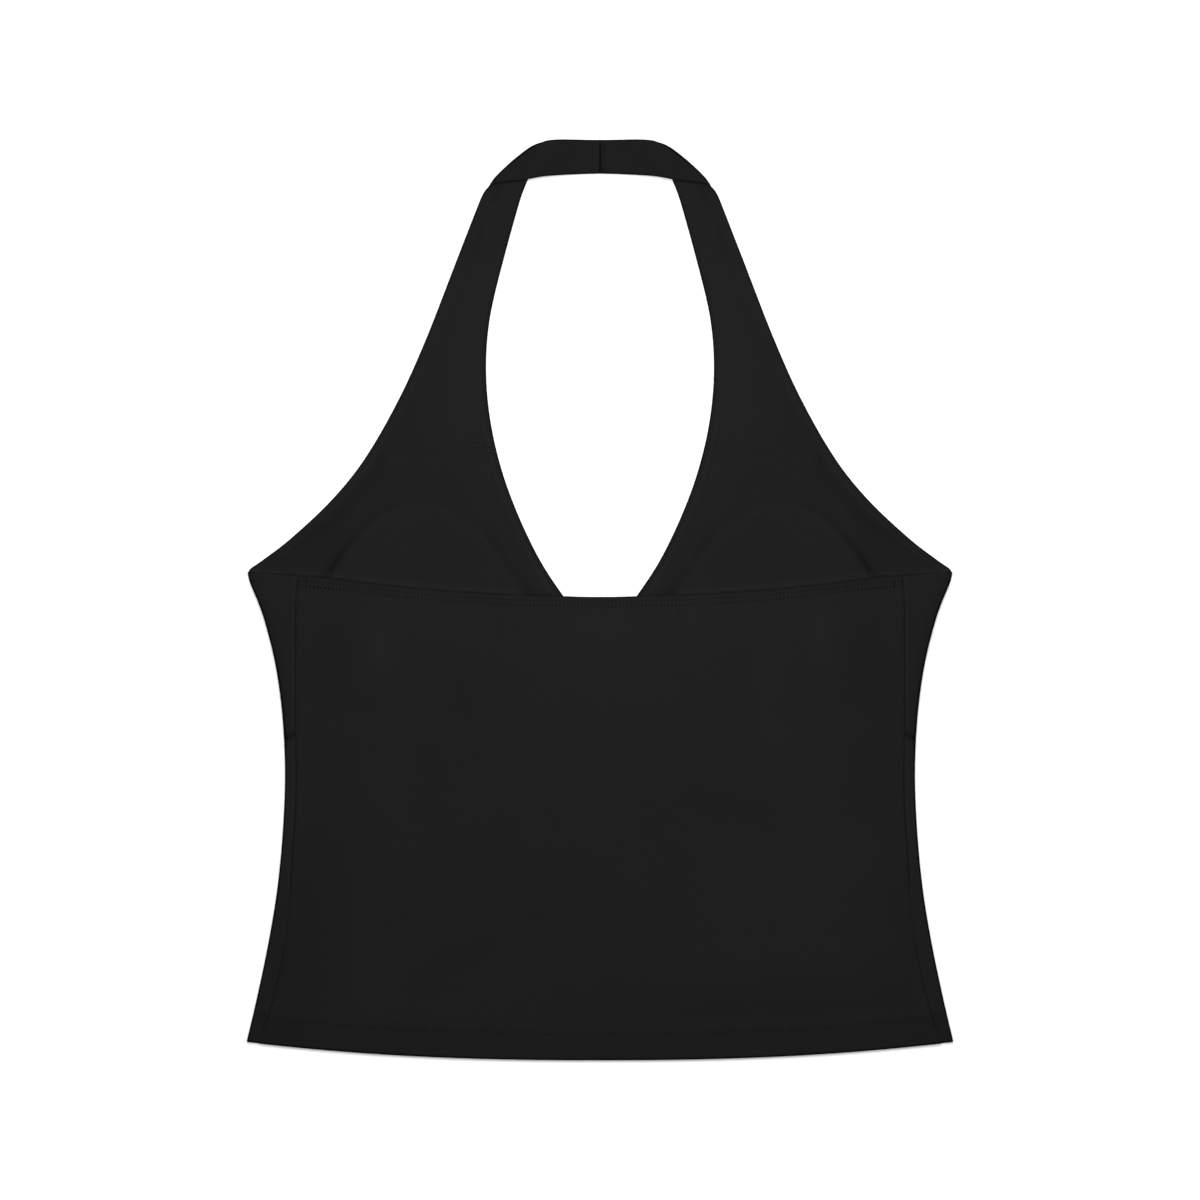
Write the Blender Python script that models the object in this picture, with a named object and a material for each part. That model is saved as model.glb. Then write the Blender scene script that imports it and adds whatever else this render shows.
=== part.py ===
"""Halter neck top in stretch jersey, laid flat with its back upwards, in metres, +Z up.

+Y runs from the hem to the nape and +X is the garment's right as it lies. The front lies on the
surface and wraps a little way round each side, where it is sewn to the back. Each half of the
upper front runs on as a strap, which folds over beside the neck and is sewn to the other one at
the nape. The cup linings and the strap facings line the upper front, with a foam pad in each cup.
"""

import math

import bmesh
import bpy

# Cloth. Heights are those of the middle of a wall above the surface that the top lies on.
CLOTH = 0.0010
GAP = 0.0003
FRONT_HEIGHT = CLOTH / 2
LINING_HEIGHT = FRONT_HEIGHT + CLOTH + GAP
BACK_LOW = 0.0021
BACK_HIGH = LINING_HEIGHT + CLOTH + GAP
HALF_SEAM = GAP / 2

# Outline of the right half, as (y, x) rows.
SIDE_FOLD = (
    (-0.2430, 0.1943),
    (-0.2200, 0.1889),
    (-0.1900, 0.1826),
    (-0.1600, 0.1776),
    (-0.1300, 0.1746),
    (-0.1000, 0.1732),
    (-0.0770, 0.1737),
    (-0.0550, 0.1755),
    (-0.0330, 0.1790),
    (-0.0110, 0.1845),
    (0.0060, 0.1909),
    (0.0156, 0.1936),
)
SIDE_SEAM = (
    (-0.2430, 0.1876),
    (-0.2240, 0.1828),
    (-0.2040, 0.1783),
    (-0.1890, 0.1756),
    (-0.1720, 0.1730),
    (-0.1580, 0.1712),
    (-0.1300, 0.1688),
    (-0.1000, 0.1673),
    (-0.0740, 0.1678),
    (-0.0200, 0.1676),
    (0.0020, 0.1671),
    (0.0134, 0.1662),
)
ARMHOLE = (
    (0.0156, 0.1936),
    (0.0173, 0.1919),
    (0.0217, 0.1858),
    (0.0327, 0.1713),
    (0.0547, 0.1478),
    (0.0767, 0.1300),
    (0.1097, 0.1107),
    (0.1427, 0.0960),
    (0.1867, 0.0787),
    (0.2197, 0.0660),
    (0.2230, 0.0643),
    (0.2253, 0.0619),
)
NECKLINE = (
    (-0.0250, 0.0000),
    (0.0041, 0.0215),
    (0.0217, 0.0329),
    (0.0437, 0.0439),
    (0.0657, 0.0522),
    (0.0877, 0.0582),
    (0.1097, 0.0617),
    (0.1317, 0.0626),
    (0.1537, 0.0609),
    (0.1757, 0.0560),
    (0.2197, 0.0440),
    (0.2296, 0.0405),
    (0.2510, 0.0312),
)

# Edges that run across, as (x, y) rows.
BACK_TOP = (
    (0.0000, 0.0008),
    (0.0500, 0.0025),
    (0.0850, 0.0050),
    (0.1200, 0.0083),
    (0.1500, 0.0119),
    (0.1680, 0.0135),
)
LINING_TOP = (
    (0.0580, 0.0850),
    (0.0800, 0.0843),
    (0.0960, 0.0827),
    (0.1100, 0.0810),
    (0.1260, 0.0779),
)
BAND_TOP = (
    (0.0000, 0.2530),
    (0.0150, 0.2530),
    (0.0250, 0.2530),
    (0.0285, 0.2525),
    (0.0312, 0.2510),
)
BAND_BOTTOM = (
    (0.0000, 0.2344),
    (0.0110, 0.2341),
    (0.0300, 0.2328),
    (0.0400, 0.2309),
    (0.0570, 0.2286),
    (0.0619, 0.2253),
)
HEM_CENTRE = -0.2530
HEM_RISE = 0.0100
HEM_POWER = 2.35
WAIST_SEAM = -0.0760
WAIST_SEAM_SLANT = 0.0020
V_POINT = -0.0250
UNDERARM = 0.0156
STRIP_DROP = 0.0022
EDGE_ROLL = 0.0008

# Sections across the upper front, by the height y where each one lies.
BUST_SECTIONS = (-0.076, -0.062, -0.048, -0.036, -0.025, -0.016, -0.006, 0.004, 0.0115, 0.0156)
CHEST_SECTIONS = (0.0173, 0.0205, 0.0255, 0.033, 0.043, 0.055, 0.068, 0.081, 0.096, 0.112, 0.128)
CHEST_SECTIONS += (0.144, 0.160)
FIRST_LINING_SECTION_THAT_SLOPES = 0.033
LAST_LINING_SECTION = 0.081

# Sections across the strap up to its fold, then along the band to the nape. `bow` is how far the
# middle of a section stands out towards the fold, and `lift` the height of the outer cloth.
STRAP_SECTIONS = (
    # neck_y, arm_y, bow
    (0.1750, 0.1740, 0.0000),
    (0.1900, 0.1850, 0.0001),
    (0.2050, 0.1950, 0.0003),
    (0.2190, 0.2050, 0.0006),
    (0.2330, 0.2150, 0.0009),
    (0.2430, 0.2215, 0.0012),
    (0.2510, 0.2253, 0.0013),
)
BAND_SECTIONS = (
    # neck_x, arm_x, bow, lift
    (0.0312, 0.0619, 0.0013, 0.0045),
    (0.0285, 0.0560, 0.0010, 0.0045),
    (0.0250, 0.0480, 0.0006, 0.0045),
    (0.0210, 0.0395, 0.0003, 0.0043),
    (0.0170, 0.0310, 0.0001, 0.0037),
    (0.0125, 0.0225, 0.0000, 0.0029),
    (0.0080, 0.0140, 0.0000, 0.0022),
    (0.0040, 0.0070, 0.0000, 0.0020),
    (0.0000, 0.0000, 0.0000, 0.0020),
)
FOLD_OUT = (0.642, 0.767)
FOLD_BOW = 0.0013
# Reach of the turn at the fold, at its neck end and at its arm end.
OUTER_FOLD_REACH = (0.0017, 0.0015)
FACING_FOLD_REACH = (0.0009, 0.0007)
FACING_SETBACK = 0.0006
FACING_DEPTH = 0.0013

# Foam pad of the right cup: (angle in degrees, radius) round its middle.
PAD_MIDDLE = (0.0980, 0.0020)
PAD_OUTLINE = (
    (0, 0.0575),
    (12, 0.0536),
    (36, 0.0498),
    (60, 0.0509),
    (85, 0.0527),
    (117, 0.0492),
    (141, 0.0476),
    (167, 0.0532),
    (185, 0.0602),
    (205, 0.0612),
    (235, 0.0570),
    (270, 0.0530),
    (305, 0.0570),
    (338, 0.0612),
    (360, 0.0575),
)
PAD_EDGE = 0.0020
PAD_CROWN = 0.0050
LINING_SKIRT = 0.0070
BACK_SKIRT = 0.0200
SKIRT_INSIDE = 0.0020
PAD_RINGS = (
    # share of the outline's radius, share of the height
    (0.45, 0.00),
    (0.88, 0.00),
    (0.93, 0.25),
    (0.86, 0.80),
    (0.66, 0.97),
    (0.40, 0.98),
    (0.15, 0.98),
)
PAD_POINTS = 28

# How finely the pieces are divided.
FRONT_COLUMNS = 6
STRAP_COLUMNS = 5
LINING_COLUMNS = 18
BACK_COLUMNS = 40
BACK_LEVELS = (0.00, 0.10, 0.20, 0.30, 0.40, 0.50, 0.58, 0.64, 0.69, 0.73, 0.77, 0.81, 0.85)
BACK_LEVELS += (0.88, 0.91, 0.94, 0.97, 1.00)
FRONT_LOWER_ROWS = 10
TURN_STEPS = 6
STRIP_COLUMNS = 2

JERSEY = (0.0125, 0.0125, 0.0130, 1)
LINING_JERSEY = (0.0110, 0.0110, 0.0115, 1)
FOAM = (0.0160, 0.0160, 0.0165, 1)


def smooth(share):
    """An S-shaped 0 to 1."""
    share = min(1.0, max(0.0, share))
    return share * share * (3 - 2 * share)


def mix(low, high, share):
    return low + (high - low) * share


def curve(rows, at):
    """The value at a position along a table of (position, value) rows, on a smooth curve."""
    at = min(max(at, rows[0][0]), rows[-1][0])
    last = len(rows) - 1
    i = next(k for k in range(last) if at <= rows[k + 1][0])

    def slope(k):
        before, after = rows[max(k - 1, 0)], rows[min(k + 1, last)]
        return (after[1] - before[1]) / (after[0] - before[0])

    (start, low), (end, high) = rows[i], rows[i + 1]
    span = end - start
    t = (at - start) / span
    return (
        low * (1 + 2 * t) * (1 - t) ** 2
        + high * t * t * (3 - 2 * t)
        + slope(i) * span * t * (1 - t) ** 2
        - slope(i + 1) * span * t * t * (1 - t)
    )


def hem_y(x):
    return HEM_CENTRE + HEM_RISE * (abs(x) / SIDE_FOLD[0][1]) ** HEM_POWER


def neck_x(y):
    """The right half's inner edge: the centre front seam, then the neckline above the V."""
    return max(HALF_SEAM, curve(NECKLINE, y)) if y > V_POINT else HALF_SEAM


def pad_relief(x, y, skirt):
    """How far a pad lifts the cloth over it, falling to nothing over the skirt around the pad."""
    across, up = abs(x) - PAD_MIDDLE[0], y - PAD_MIDDLE[1]
    radius = curve(PAD_OUTLINE, math.degrees(math.atan2(up, across)) % 360)
    distance = math.hypot(across, up)
    outside = distance - radius
    dome = 1 - min(1, distance / radius) ** 2
    share = smooth((skirt - outside) / (skirt + SKIRT_INSIDE))
    return share * mix(PAD_EDGE, PAD_CROWN, dome)


def lining_height(x, y):
    return LINING_HEIGHT + pad_relief(x, y, LINING_SKIRT)


def back_height(x, y):
    """The back lies on the front, and higher over the linings and the pads."""
    over_lining = smooth((y - WAIST_SEAM + 0.022) / 0.028)
    return mix(BACK_LOW, BACK_HIGH, over_lining) + pad_relief(x, y, BACK_SKIRT)


def side_turn(y):
    """Radius of the cloth's middle where the front folds round the side, and where it starts."""
    radius = (back_height(curve(SIDE_SEAM, y), y) - FRONT_HEIGHT) / 2
    return radius, curve(SIDE_FOLD, y) - radius - CLOTH / 2


def side_wrap(y, slant):
    """Points of one section round the side and along the strip on the back, to the side seam."""
    radius, turn_x = side_turn(y)
    points = []
    for step in range(1, TURN_STEPS + 1):
        angle = math.pi * (step / TURN_STEPS - 0.5)
        x = turn_x + radius * math.cos(angle)
        points.append((x, y, FRONT_HEIGHT + radius * (1 + math.sin(angle))))
    seam_x = curve(SIDE_SEAM, y) + HALF_SEAM
    for step in range(1, STRIP_COLUMNS + 1):
        share = step / STRIP_COLUMNS
        points.append((mix(turn_x, seam_x, share), y + slant * share, FRONT_HEIGHT + 2 * radius))
    return points


def across(start, end, columns, height):
    """Evenly spaced points of a level section from one (x, y) to another."""
    shares = [i / columns for i in range(columns + 1)]
    return [(mix(start[0], end[0], s), mix(start[1], end[1], s), height) for s in shares]


def bowed(neck, arm, inset, bow, setback, height, columns):
    """A section across the strap, inset at both ends, its middle standing out by `bow`."""
    back = setback * bow / FOLD_BOW
    width = math.dist(neck, arm)
    points = []
    for i in range(columns + 1):
        share = mix(inset / width, 1 - inset / width, i / columns)
        out = bow * 4 * share * (1 - share) - back
        x = mix(neck[0], arm[0], share) + FOLD_OUT[0] * out
        y = mix(neck[1], arm[1], share) + FOLD_OUT[1] * out
        points.append((x, y, height))
    return points


def strap_rows(columns, reach, inset=0, depth=0, setback=0):
    """Sections from the chest over the fold to the nape, for the outer cloth or the facing."""
    rows = []
    for neck_y, arm_y, bow in STRAP_SECTIONS:
        neck = (curve(NECKLINE, neck_y), neck_y)
        arm = (curve(ARMHOLE, arm_y), arm_y)
        rows.append(bowed(neck, arm, inset, bow, setback, FRONT_HEIGHT + depth, columns))
    band = []
    for neck_x_at, arm_x_at, bow, lift in BAND_SECTIONS:
        neck = (max(neck_x_at, HALF_SEAM), curve(BAND_TOP, neck_x_at))
        arm = (max(arm_x_at, HALF_SEAM), curve(BAND_BOTTOM, arm_x_at))
        band.append(bowed(neck, arm, inset, bow, setback, lift - depth, columns))
    below, above = rows.pop(), band.pop(0)
    for step in range(TURN_STEPS + 1):
        angle = math.pi * (step / TURN_STEPS - 0.5)
        row = []
        for i in range(columns + 1):
            out = mix(reach[0], reach[1], i / columns) * math.cos(angle)
            x, y, low = below[i]
            z = mix(low, above[i][2], (1 + math.sin(angle)) / 2)
            row.append((x + FOLD_OUT[0] * out, y + FOLD_OUT[1] * out, z))
        rows.append(row)
    return rows + band


def front_upper_rows():
    """The outer cloth of the right bust, with its strip on the back, its strap and its band."""
    rows = []
    for section, y in enumerate(BUST_SECTIONS):
        if section == 0:
            y += HALF_SEAM
        rise = section / (len(BUST_SECTIONS) - 1)
        slant = mix(WAIST_SEAM_SLANT, -STRIP_DROP, smooth(rise))
        start, end = (neck_x(y), y), (side_turn(y)[1], y)
        rows.append(across(start, end, FRONT_COLUMNS, FRONT_HEIGHT) + side_wrap(y, slant))
    for y in CHEST_SECTIONS:
        start, end = (neck_x(y), y), (curve(ARMHOLE, y), y)
        rows.append(across(start, end, FRONT_COLUMNS, FRONT_HEIGHT))
    return rows + strap_rows(FRONT_COLUMNS, OUTER_FOLD_REACH)


def lining_rows():
    """The right cup lining, from the waist seam to the seam with the strap facing."""
    rows = []
    sections = [y for y in BUST_SECTIONS + CHEST_SECTIONS if y <= LAST_LINING_SECTION]
    for section, y in enumerate(sections):
        if section == 0:
            y += HALF_SEAM
        slope_from = FIRST_LINING_SECTION_THAT_SLOPES
        slopes = smooth((y - slope_from) / (LAST_LINING_SECTION - slope_from))
        edge = side_turn(y)[1] if y <= UNDERARM else curve(ARMHOLE, y) - EDGE_ROLL
        start = neck_x(y) + (EDGE_ROLL if y > V_POINT else 0)
        row = []
        for i in range(LINING_COLUMNS + 1):
            x = mix(start, edge, i / LINING_COLUMNS)
            row_y = y + slopes * (curve(LINING_TOP, x) - HALF_SEAM - LAST_LINING_SECTION)
            row.append((x, row_y, lining_height(x, row_y)))
        rows.append(row)
    return rows


def facing_rows():
    """The right strap facing, from the lining's seam over the fold to the nape."""
    first = []
    ends = (neck_x(LINING_TOP[0][1]) + EDGE_ROLL, curve(ARMHOLE, LINING_TOP[-1][1]) - EDGE_ROLL)
    for x, _, height in across((ends[0], 0), (ends[1], 0), STRAP_COLUMNS, LINING_HEIGHT):
        first.append((x, curve(LINING_TOP, x) + HALF_SEAM, height))
    rows = [first]
    for y in [y for y in CHEST_SECTIONS if y > LAST_LINING_SECTION + GAP]:
        start, end = (neck_x(y) + EDGE_ROLL, y), (curve(ARMHOLE, y) - EDGE_ROLL, y)
        rows.append(across(start, end, STRAP_COLUMNS, LINING_HEIGHT))
    return rows + strap_rows(
        STRAP_COLUMNS, FACING_FOLD_REACH, inset=EDGE_ROLL, depth=FACING_DEPTH, setback=FACING_SETBACK
    )


def front_lower_rows():
    """The lower front, with a strip round each side up to its side seam."""
    rows = []
    for step in range(FRONT_LOWER_ROWS + 1):
        share = step / FRONT_LOWER_ROWS
        side_y = mix(SIDE_FOLD[0][0], WAIST_SEAM - HALF_SEAM, share)
        right = side_wrap(side_y, WAIST_SEAM_SLANT * smooth(share * 2 - 1))
        turn_x = side_turn(side_y)[1]
        middle = []
        for i in range(2 * FRONT_COLUMNS + 1):
            x = mix(-turn_x, turn_x, i / (2 * FRONT_COLUMNS))
            middle.append((x, mix(hem_y(x), WAIST_SEAM - HALF_SEAM, share), FRONT_HEIGHT))
        left = [(-x, y, z) for x, y, z in reversed(right)]
        rows.append(left + middle + right)
    return rows


def back_rows():
    """The back, between the side seams, from the hem to its straight top edge."""
    rows = []
    for share in BACK_LEVELS:
        row = []
        for i in range(BACK_COLUMNS + 1):
            place = 2 * i / BACK_COLUMNS - 1
            level = mix(SIDE_FOLD[0][0], curve(BACK_TOP, BACK_TOP[-1][0]), share)
            x = place * (curve(SIDE_SEAM, level) - HALF_SEAM)
            y = mix(hem_y(x), curve(BACK_TOP, abs(x)), share)
            row.append((x, y, back_height(x, y)))
        rows.append(row)
    return rows


def mirrored(rows):
    return [[(-x, y, z) for x, y, z in row] for row in rows]


def finish(name, colour, roughness, bm):
    """The bmesh as a smooth object with its own material."""
    mesh = bpy.data.meshes.new(name)
    bm.to_mesh(mesh)
    bm.free()
    mesh.shade_smooth()
    material = bpy.data.materials.new(name + "_cloth")
    material.use_nodes = True
    shader = material.node_tree.nodes["Principled BSDF"]
    shader.inputs["Base Color"].default_value = colour
    shader.inputs["Roughness"].default_value = roughness
    shader.inputs["Metallic"].default_value = 0
    mesh.materials.append(material)
    obj = bpy.data.objects.new(name, mesh)
    bpy.context.scene.collection.objects.link(obj)
    return obj


def cloth(name, rows, colour):
    """A cut piece: quads between neighbouring sections, as far as both reach, given its wall."""
    bm = bmesh.new()
    loops = [[bm.verts.new(point) for point in row] for row in rows]
    for low, high in zip(loops, loops[1:]):
        for i in range(min(len(low), len(high)) - 1):
            bm.faces.new((low[i], low[i + 1], high[i + 1], high[i]))
    obj = finish(name, colour, 0.85, bm)
    wall = obj.modifiers.new("wall", "SOLIDIFY")
    wall.thickness = CLOTH
    wall.offset = 0
    wall.use_even_offset = True
    wall.use_quality_normals = True
    return obj


def pad(name, side):
    """A foam cup pad: rings of its outline from the flat underside round to the crown."""
    bm = bmesh.new()
    base = FRONT_HEIGHT + CLOTH / 2 + GAP
    loops = []
    for size, rise in PAD_RINGS:
        loop = []
        for i in range(PAD_POINTS):
            turn = 360 * i / PAD_POINTS
            radius = size * curve(PAD_OUTLINE, turn)
            x = PAD_MIDDLE[0] + radius * math.cos(math.radians(turn))
            y = PAD_MIDDLE[1] + radius * math.sin(math.radians(turn))
            height = rise * (pad_relief(x, y, LINING_SKIRT) - GAP)
            loop.append(bm.verts.new((side * x, y, base + height)))
        for i in range(PAD_POINTS):
            bm.edges.new((loop[i], loop[(i + 1) % PAD_POINTS]))
        loops.append(loop)
    for low, high in zip(loops, loops[1:]):
        edges = [e for e in bm.edges if all(v in low for v in e.verts)]
        edges += [e for e in bm.edges if all(v in high for v in e.verts)]
        bmesh.ops.bridge_loops(bm, edges=edges)
    for loop in (loops[0], loops[-1]):
        bmesh.ops.contextual_create(bm, geom=loop)
    bmesh.ops.recalc_face_normals(bm, faces=bm.faces)
    return finish(name, FOAM, 0.9, bm)


def main():
    for obj in list(bpy.data.objects):
        bpy.data.objects.remove(obj)
    cloth("front_lower", front_lower_rows(), JERSEY)
    cloth("back", back_rows(), JERSEY)
    for side, suffix in ((1, "right"), (-1, "left")):
        for piece, rows, colour in (
            ("front_upper", front_upper_rows(), JERSEY),
            ("strap_facing", facing_rows(), JERSEY),
            ("cup_lining", lining_rows(), LINING_JERSEY),
        ):
            placed = rows if side > 0 else mirrored(rows)
            cloth(f"{piece}_{suffix}", placed, colour)
        pad(f"cup_pad_{suffix}", side)


main()
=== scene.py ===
"""Halter neck top in black stretch jersey, laid flat with its back up on a pale floor.

The sections are worked out in millimetres, +Y from the hem to the nape and +Z up. The front lies
on the floor and wraps a little way round each side, where it is sewn to the back. Each upper front
runs on as a strap that folds over beside the neck and meets the other one at the nape.
"""

import math

import bmesh
import bpy
from mathutils import Matrix, Vector
from mathutils.bvhtree import BVHTree


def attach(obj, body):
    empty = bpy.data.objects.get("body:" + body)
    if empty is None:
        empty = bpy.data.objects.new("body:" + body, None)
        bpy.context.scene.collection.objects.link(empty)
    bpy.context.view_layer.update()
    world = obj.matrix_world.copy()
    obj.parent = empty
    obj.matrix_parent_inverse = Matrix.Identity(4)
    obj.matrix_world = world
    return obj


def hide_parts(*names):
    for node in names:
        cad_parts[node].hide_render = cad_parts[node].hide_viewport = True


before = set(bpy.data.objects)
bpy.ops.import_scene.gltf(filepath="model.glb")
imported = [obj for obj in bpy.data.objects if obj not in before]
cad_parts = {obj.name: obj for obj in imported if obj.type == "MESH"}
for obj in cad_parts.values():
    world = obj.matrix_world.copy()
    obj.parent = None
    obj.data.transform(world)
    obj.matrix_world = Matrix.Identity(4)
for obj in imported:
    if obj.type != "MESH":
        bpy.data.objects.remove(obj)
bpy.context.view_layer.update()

MM = 0.001

# Cloth, in mm. Heights are those of the middle of a wall above the floor.
JERSEY_WALL = 0.6
HALF_SEAM = 0.06
LINING_HALF_SEAM = 0.01
FRONT_HEIGHT = 0.3
LINING_HEIGHT = 2.0
BACK_LOW = 2.3
BACK_HIGH = 3.3
BAND_LIFT = 0.2
FACING_BELOW_BAND = 1.3

# Outline of the right half, as (y, x) rows.
SIDE_FOLD = (
    (-243, 194.3), (-220, 188.9), (-190, 182.6), (-160, 177.6), (-130, 174.6), (-100, 173.2),
    (-77, 173.7), (-55, 175.5), (-33, 178.95), (-11, 184.5), (0, 188.4), (8, 191.85), (12, 193.15),
    (15.6, 193.8),
)
SIDE_SEAM = (
    (-243, 187.6), (-224, 181.4), (-204, 176.4), (-189, 173.6), (-172, 171.4), (-158, 170.2),
    (-130, 168.3), (-100, 166.8), (-74, 167.3), (-20, 167.35), (2, 167.1), (13.4, 166.2),
)
ARMHOLE = (
    (15.6, 193.8), (17.3, 192.15), (21.7, 185.8), (32.7, 171.3), (54.7, 147.8), (76.7, 130),
    (109.7, 110.95), (142.7, 96), (186.7, 78.85), (219.7, 66), (223, 64.5), (225.3, 63.1),
    (227.4, 61.4),
)
NECKLINE = (
    (-25, 0), (4.1, 21.5), (21.7, 32.9), (43.7, 43.7), (65.7, 52.2), (87.7, 58.2), (109.7, 61.7),
    (131.7, 62.6), (153.7, 60.75), (175.7, 56), (219.7, 44), (229.6, 40.3), (251, 31.2),
)

# Edges that run across, as (x, y) rows.
BACK_TOP = ((0, 1.7), (9, 1.75), (20, 2.1), (50, 2.9), (85, 5), (120, 8.3), (150, 11.9))
BACK_TOP += ((168, 13.5),)
LINING_TOP = ((58, 85.0), (80, 84.3), (96, 82.7), (110, 81.0), (126, 77.9))
BAND_TOP = ((0, 253.0), (15, 253.0), (24, 252.95), (28.5, 252.6), (31.2, 251.9))
BAND_BOTTOM = ((0, 234.4), (11, 234.1), (30, 232.8), (40, 231.1), (50, 229.9), (59.0, 228.6))
HEM_CENTRE = -253.0
HEM_RISE = 10.0
HEM_POWER = 2.35
WAIST_SEAM = -76.0
WAIST_SEAM_SLANT = 2.0
V_POINT = -25.0
UNDERARM = 15.6
STRIP_DROP = 2.2

# Sections across the strap up to its fold, each neck_y, arm_y and bow, then along the band to
# the nape, each neck_x, arm_x, bow and lift.
STRAP_SECTIONS = (
    (175, 174, 0), (190, 185, 0.1), (205, 195, 0.3), (219, 205, 0.6), (233, 216, 0.9),
    (243, 222.8, 1.2), (251, 227.2, 1.3),
)
BAND_SECTIONS = (
    (31.2, 59, 1.3, 4.5), (28.5, 54.5, 1, 4.5), (25, 47.5, 0.6, 4.5), (21, 39.5, 0.3, 4.3),
    (17, 31, 0.1, 3.7), (12.5, 22.5, 0, 2.9), (8, 14, 0, 2.2), (4, 7, 0, 2), (0, 0, 0, 2),
)
FOLD_OUT = (0.642, 0.767)
FOLD_ENDS = ((0.24, 0.12), (0.15, 0.3))
FOLD_SQUEEZE = 0.3
OUTER_FOLD_REACH = (1.9, 1.0)
FACING_FOLD_REACH = (0.8, 0.65)
FACING_SETBACK = 0.3

# Foam pad of the right cup: (angle in degrees, radius) round its middle, and by the angle as well
# how deep and how wide a valley its edge leaves in the lining. The ramp on which the lining comes
# down from it reaches out and in from the edge.
PAD_MIDDLE = (98.0, 2.0)
PAD_OUTLINE = (
    (0, 57), (10, 53.4), (22, 49.9), (34, 48.7), (48, 49.7), (62, 50.2), (82, 53), (95, 52.8),
    (118, 49.8), (136, 49.5), (154, 49.2), (167, 52.2), (185, 59.8), (205, 61.2), (235, 57),
    (270, 53), (305, 57), (338, 61.2), (360, 57),
)
PAD_VALLEY = ((0, 0.3), (12, 0.42), (22, 0.60), (34, 0.46), (48, 0.24), (70, 0.20), (84, 0.1))
PAD_VALLEY += ((108, 0.08), (120, 0.12), (132, 0.26), (145, 0.28), (160, 0.22), (185, 0.25), (360, 0.3))
PAD_VALLEY_WIDTH = ((0, 1.8), (22, 1.15), (34, 1.25), (48, 1.8), (94, 2.8), (136, 2.1), (154, 1.8))
PAD_VALLEY_WIDTH += ((360, 1.8),)
PAD_RIDGE = 0.10
PAD_EDGE = 2.0
PAD_EDGE_UNDER_LINING = 1.3
PAD_CROWN = 5.0
LINING_RAMP = (2.6, 2.8)
BACK_SKIRT = 20.0
BACK_SKIRT_INSIDE = 2.0
PAD_UNDERSIDE = 1.3

# Edge finishes. The outer cloth rolls over the neck and arm edges and meets the lining inside.
ROLL = 0.8
ROLL_REACH = ROLL + JERSEY_WALL / 2
LINING_LAP = 1.85
ROLL_TAIL = ((-0.4, 1.66), (-0.8, 1.68), (-1.2, 1.66))
LINING_INSET = LINING_LAP + JERSEY_WALL / 2
TURN_UP_DROP = 0.62
SEAM_DIP = ((0.02, 0.1), (0.03, 0.25), (0.0, 0.45))
NAPE_DIP = ((-0.05, 0.3), (-0.08, 0.7), (-0.1, 1.1))
STRIP_ROLL = 0.39
FOLD_ROLL = 0.35
UNDERARM_TURN = 0.95
HALF_TURN = [math.pi * step / 8 for step in range(1, 9)]
CORNER_REACH = 26.0
CORNER_DROP = 0.9
NAPE_HALF_GAP = 0.01
# From here to the nape's hollow: painted shade and painted highlight in the cloth's colour, by how much
# each darkens it, or lightens it where it is a light. The crease fade is the one that only shapes the
# cloth.
LOWER_SIDE_SHADE = 0.125
LOWER_SIDE_SHADE_RIGHT = 0.06
INNER_RIM_SHADE = 0.34
LINING_RIM_SHADE = 0.1
RELIEF_SHADE = 0.45
CREASE_SHADE_WIDTH = 3.5
CREASE_FADE = 0.35
HEM_SHADE = 0.12
HEM_RIM_SHADE = 0.7
HEM_BAND_SHADE = 0.08
BAND_SHADE = 0.18
BACK_PAINTED_LIGHT = 0.035
LOWER_RIGHT_PAINTED_LIGHT = 0.06
BACK_RIGHT_PAINTED_LIGHT = 0.04
BACK_SIDE_SHADE = 0.045
BACK_EDGE_SHADE = 0.06
BACK_MIDDLE_PAINTED_LIGHT = 0.085
FACING_PAINTED_LIGHT = 0.04
FACING_FOLD_SHADE = 0.08
LINING_SHADE = 0.035
LINING_PAINTED_LIGHT = 0.045
NECK_EDGE_SHADE = 0.12
ARM_EDGE_PAINTED_LIGHT = 0.03
NAPE_LIP_HIGHLIGHT = 0.16
NAPE_HOLLOW_SHADE = 0.224
UNDERSTITCH_CUP = 5.3
UNDERSTITCH_STRAP = 4.5
ARMHOLE_ROW = 4.7

# Rows of stitching, as distances from their edge.
BACK_EDGE_ROWS = (2.7, 5.6)
HEM_ROWS = (14.05, 17.6)
HEM_ROWS_AT_SIDE = (14.1, 17.6)
LINING_ROWS = (-1.0, 1.75)


def smooth(share):
    """An S-shaped 0 to 1."""
    share = min(1.0, max(0.0, share))
    return share * share * (3 - 2 * share)


def mix(low, high, share):
    return low + (high - low) * share


def bump(distance, centre, half_width):
    """A soft 0 to 1 to 0 across a line."""
    share = (distance - centre) / half_width
    return math.exp(-share * share) if abs(share) < 4 else 0.0


def curve(rows, at):
    """The value at a position along a table of (position, value) rows, on a smooth curve."""
    at = min(max(at, rows[0][0]), rows[-1][0])
    last = len(rows) - 1
    i = next(k for k in range(last) if at <= rows[k + 1][0])

    def slope(k):
        before, after = rows[max(k - 1, 0)], rows[min(k + 1, last)]
        return (after[1] - before[1]) / (after[0] - before[0])

    (start, low), (end, high) = rows[i], rows[i + 1]
    span = end - start
    t = (at - start) / span
    return (
        low * (1 + 2 * t) * (1 - t) ** 2
        + high * t * t * (3 - 2 * t)
        + slope(i) * span * t * (1 - t) ** 2
        - slope(i + 1) * span * t * t * (1 - t)
    )


def along(table, t):
    """The columns of a table of sections at a place between its rows, each on a smooth curve."""
    return [curve([(k, row[c]) for k, row in enumerate(table)], t) for c in range(len(table[0]))]


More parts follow.
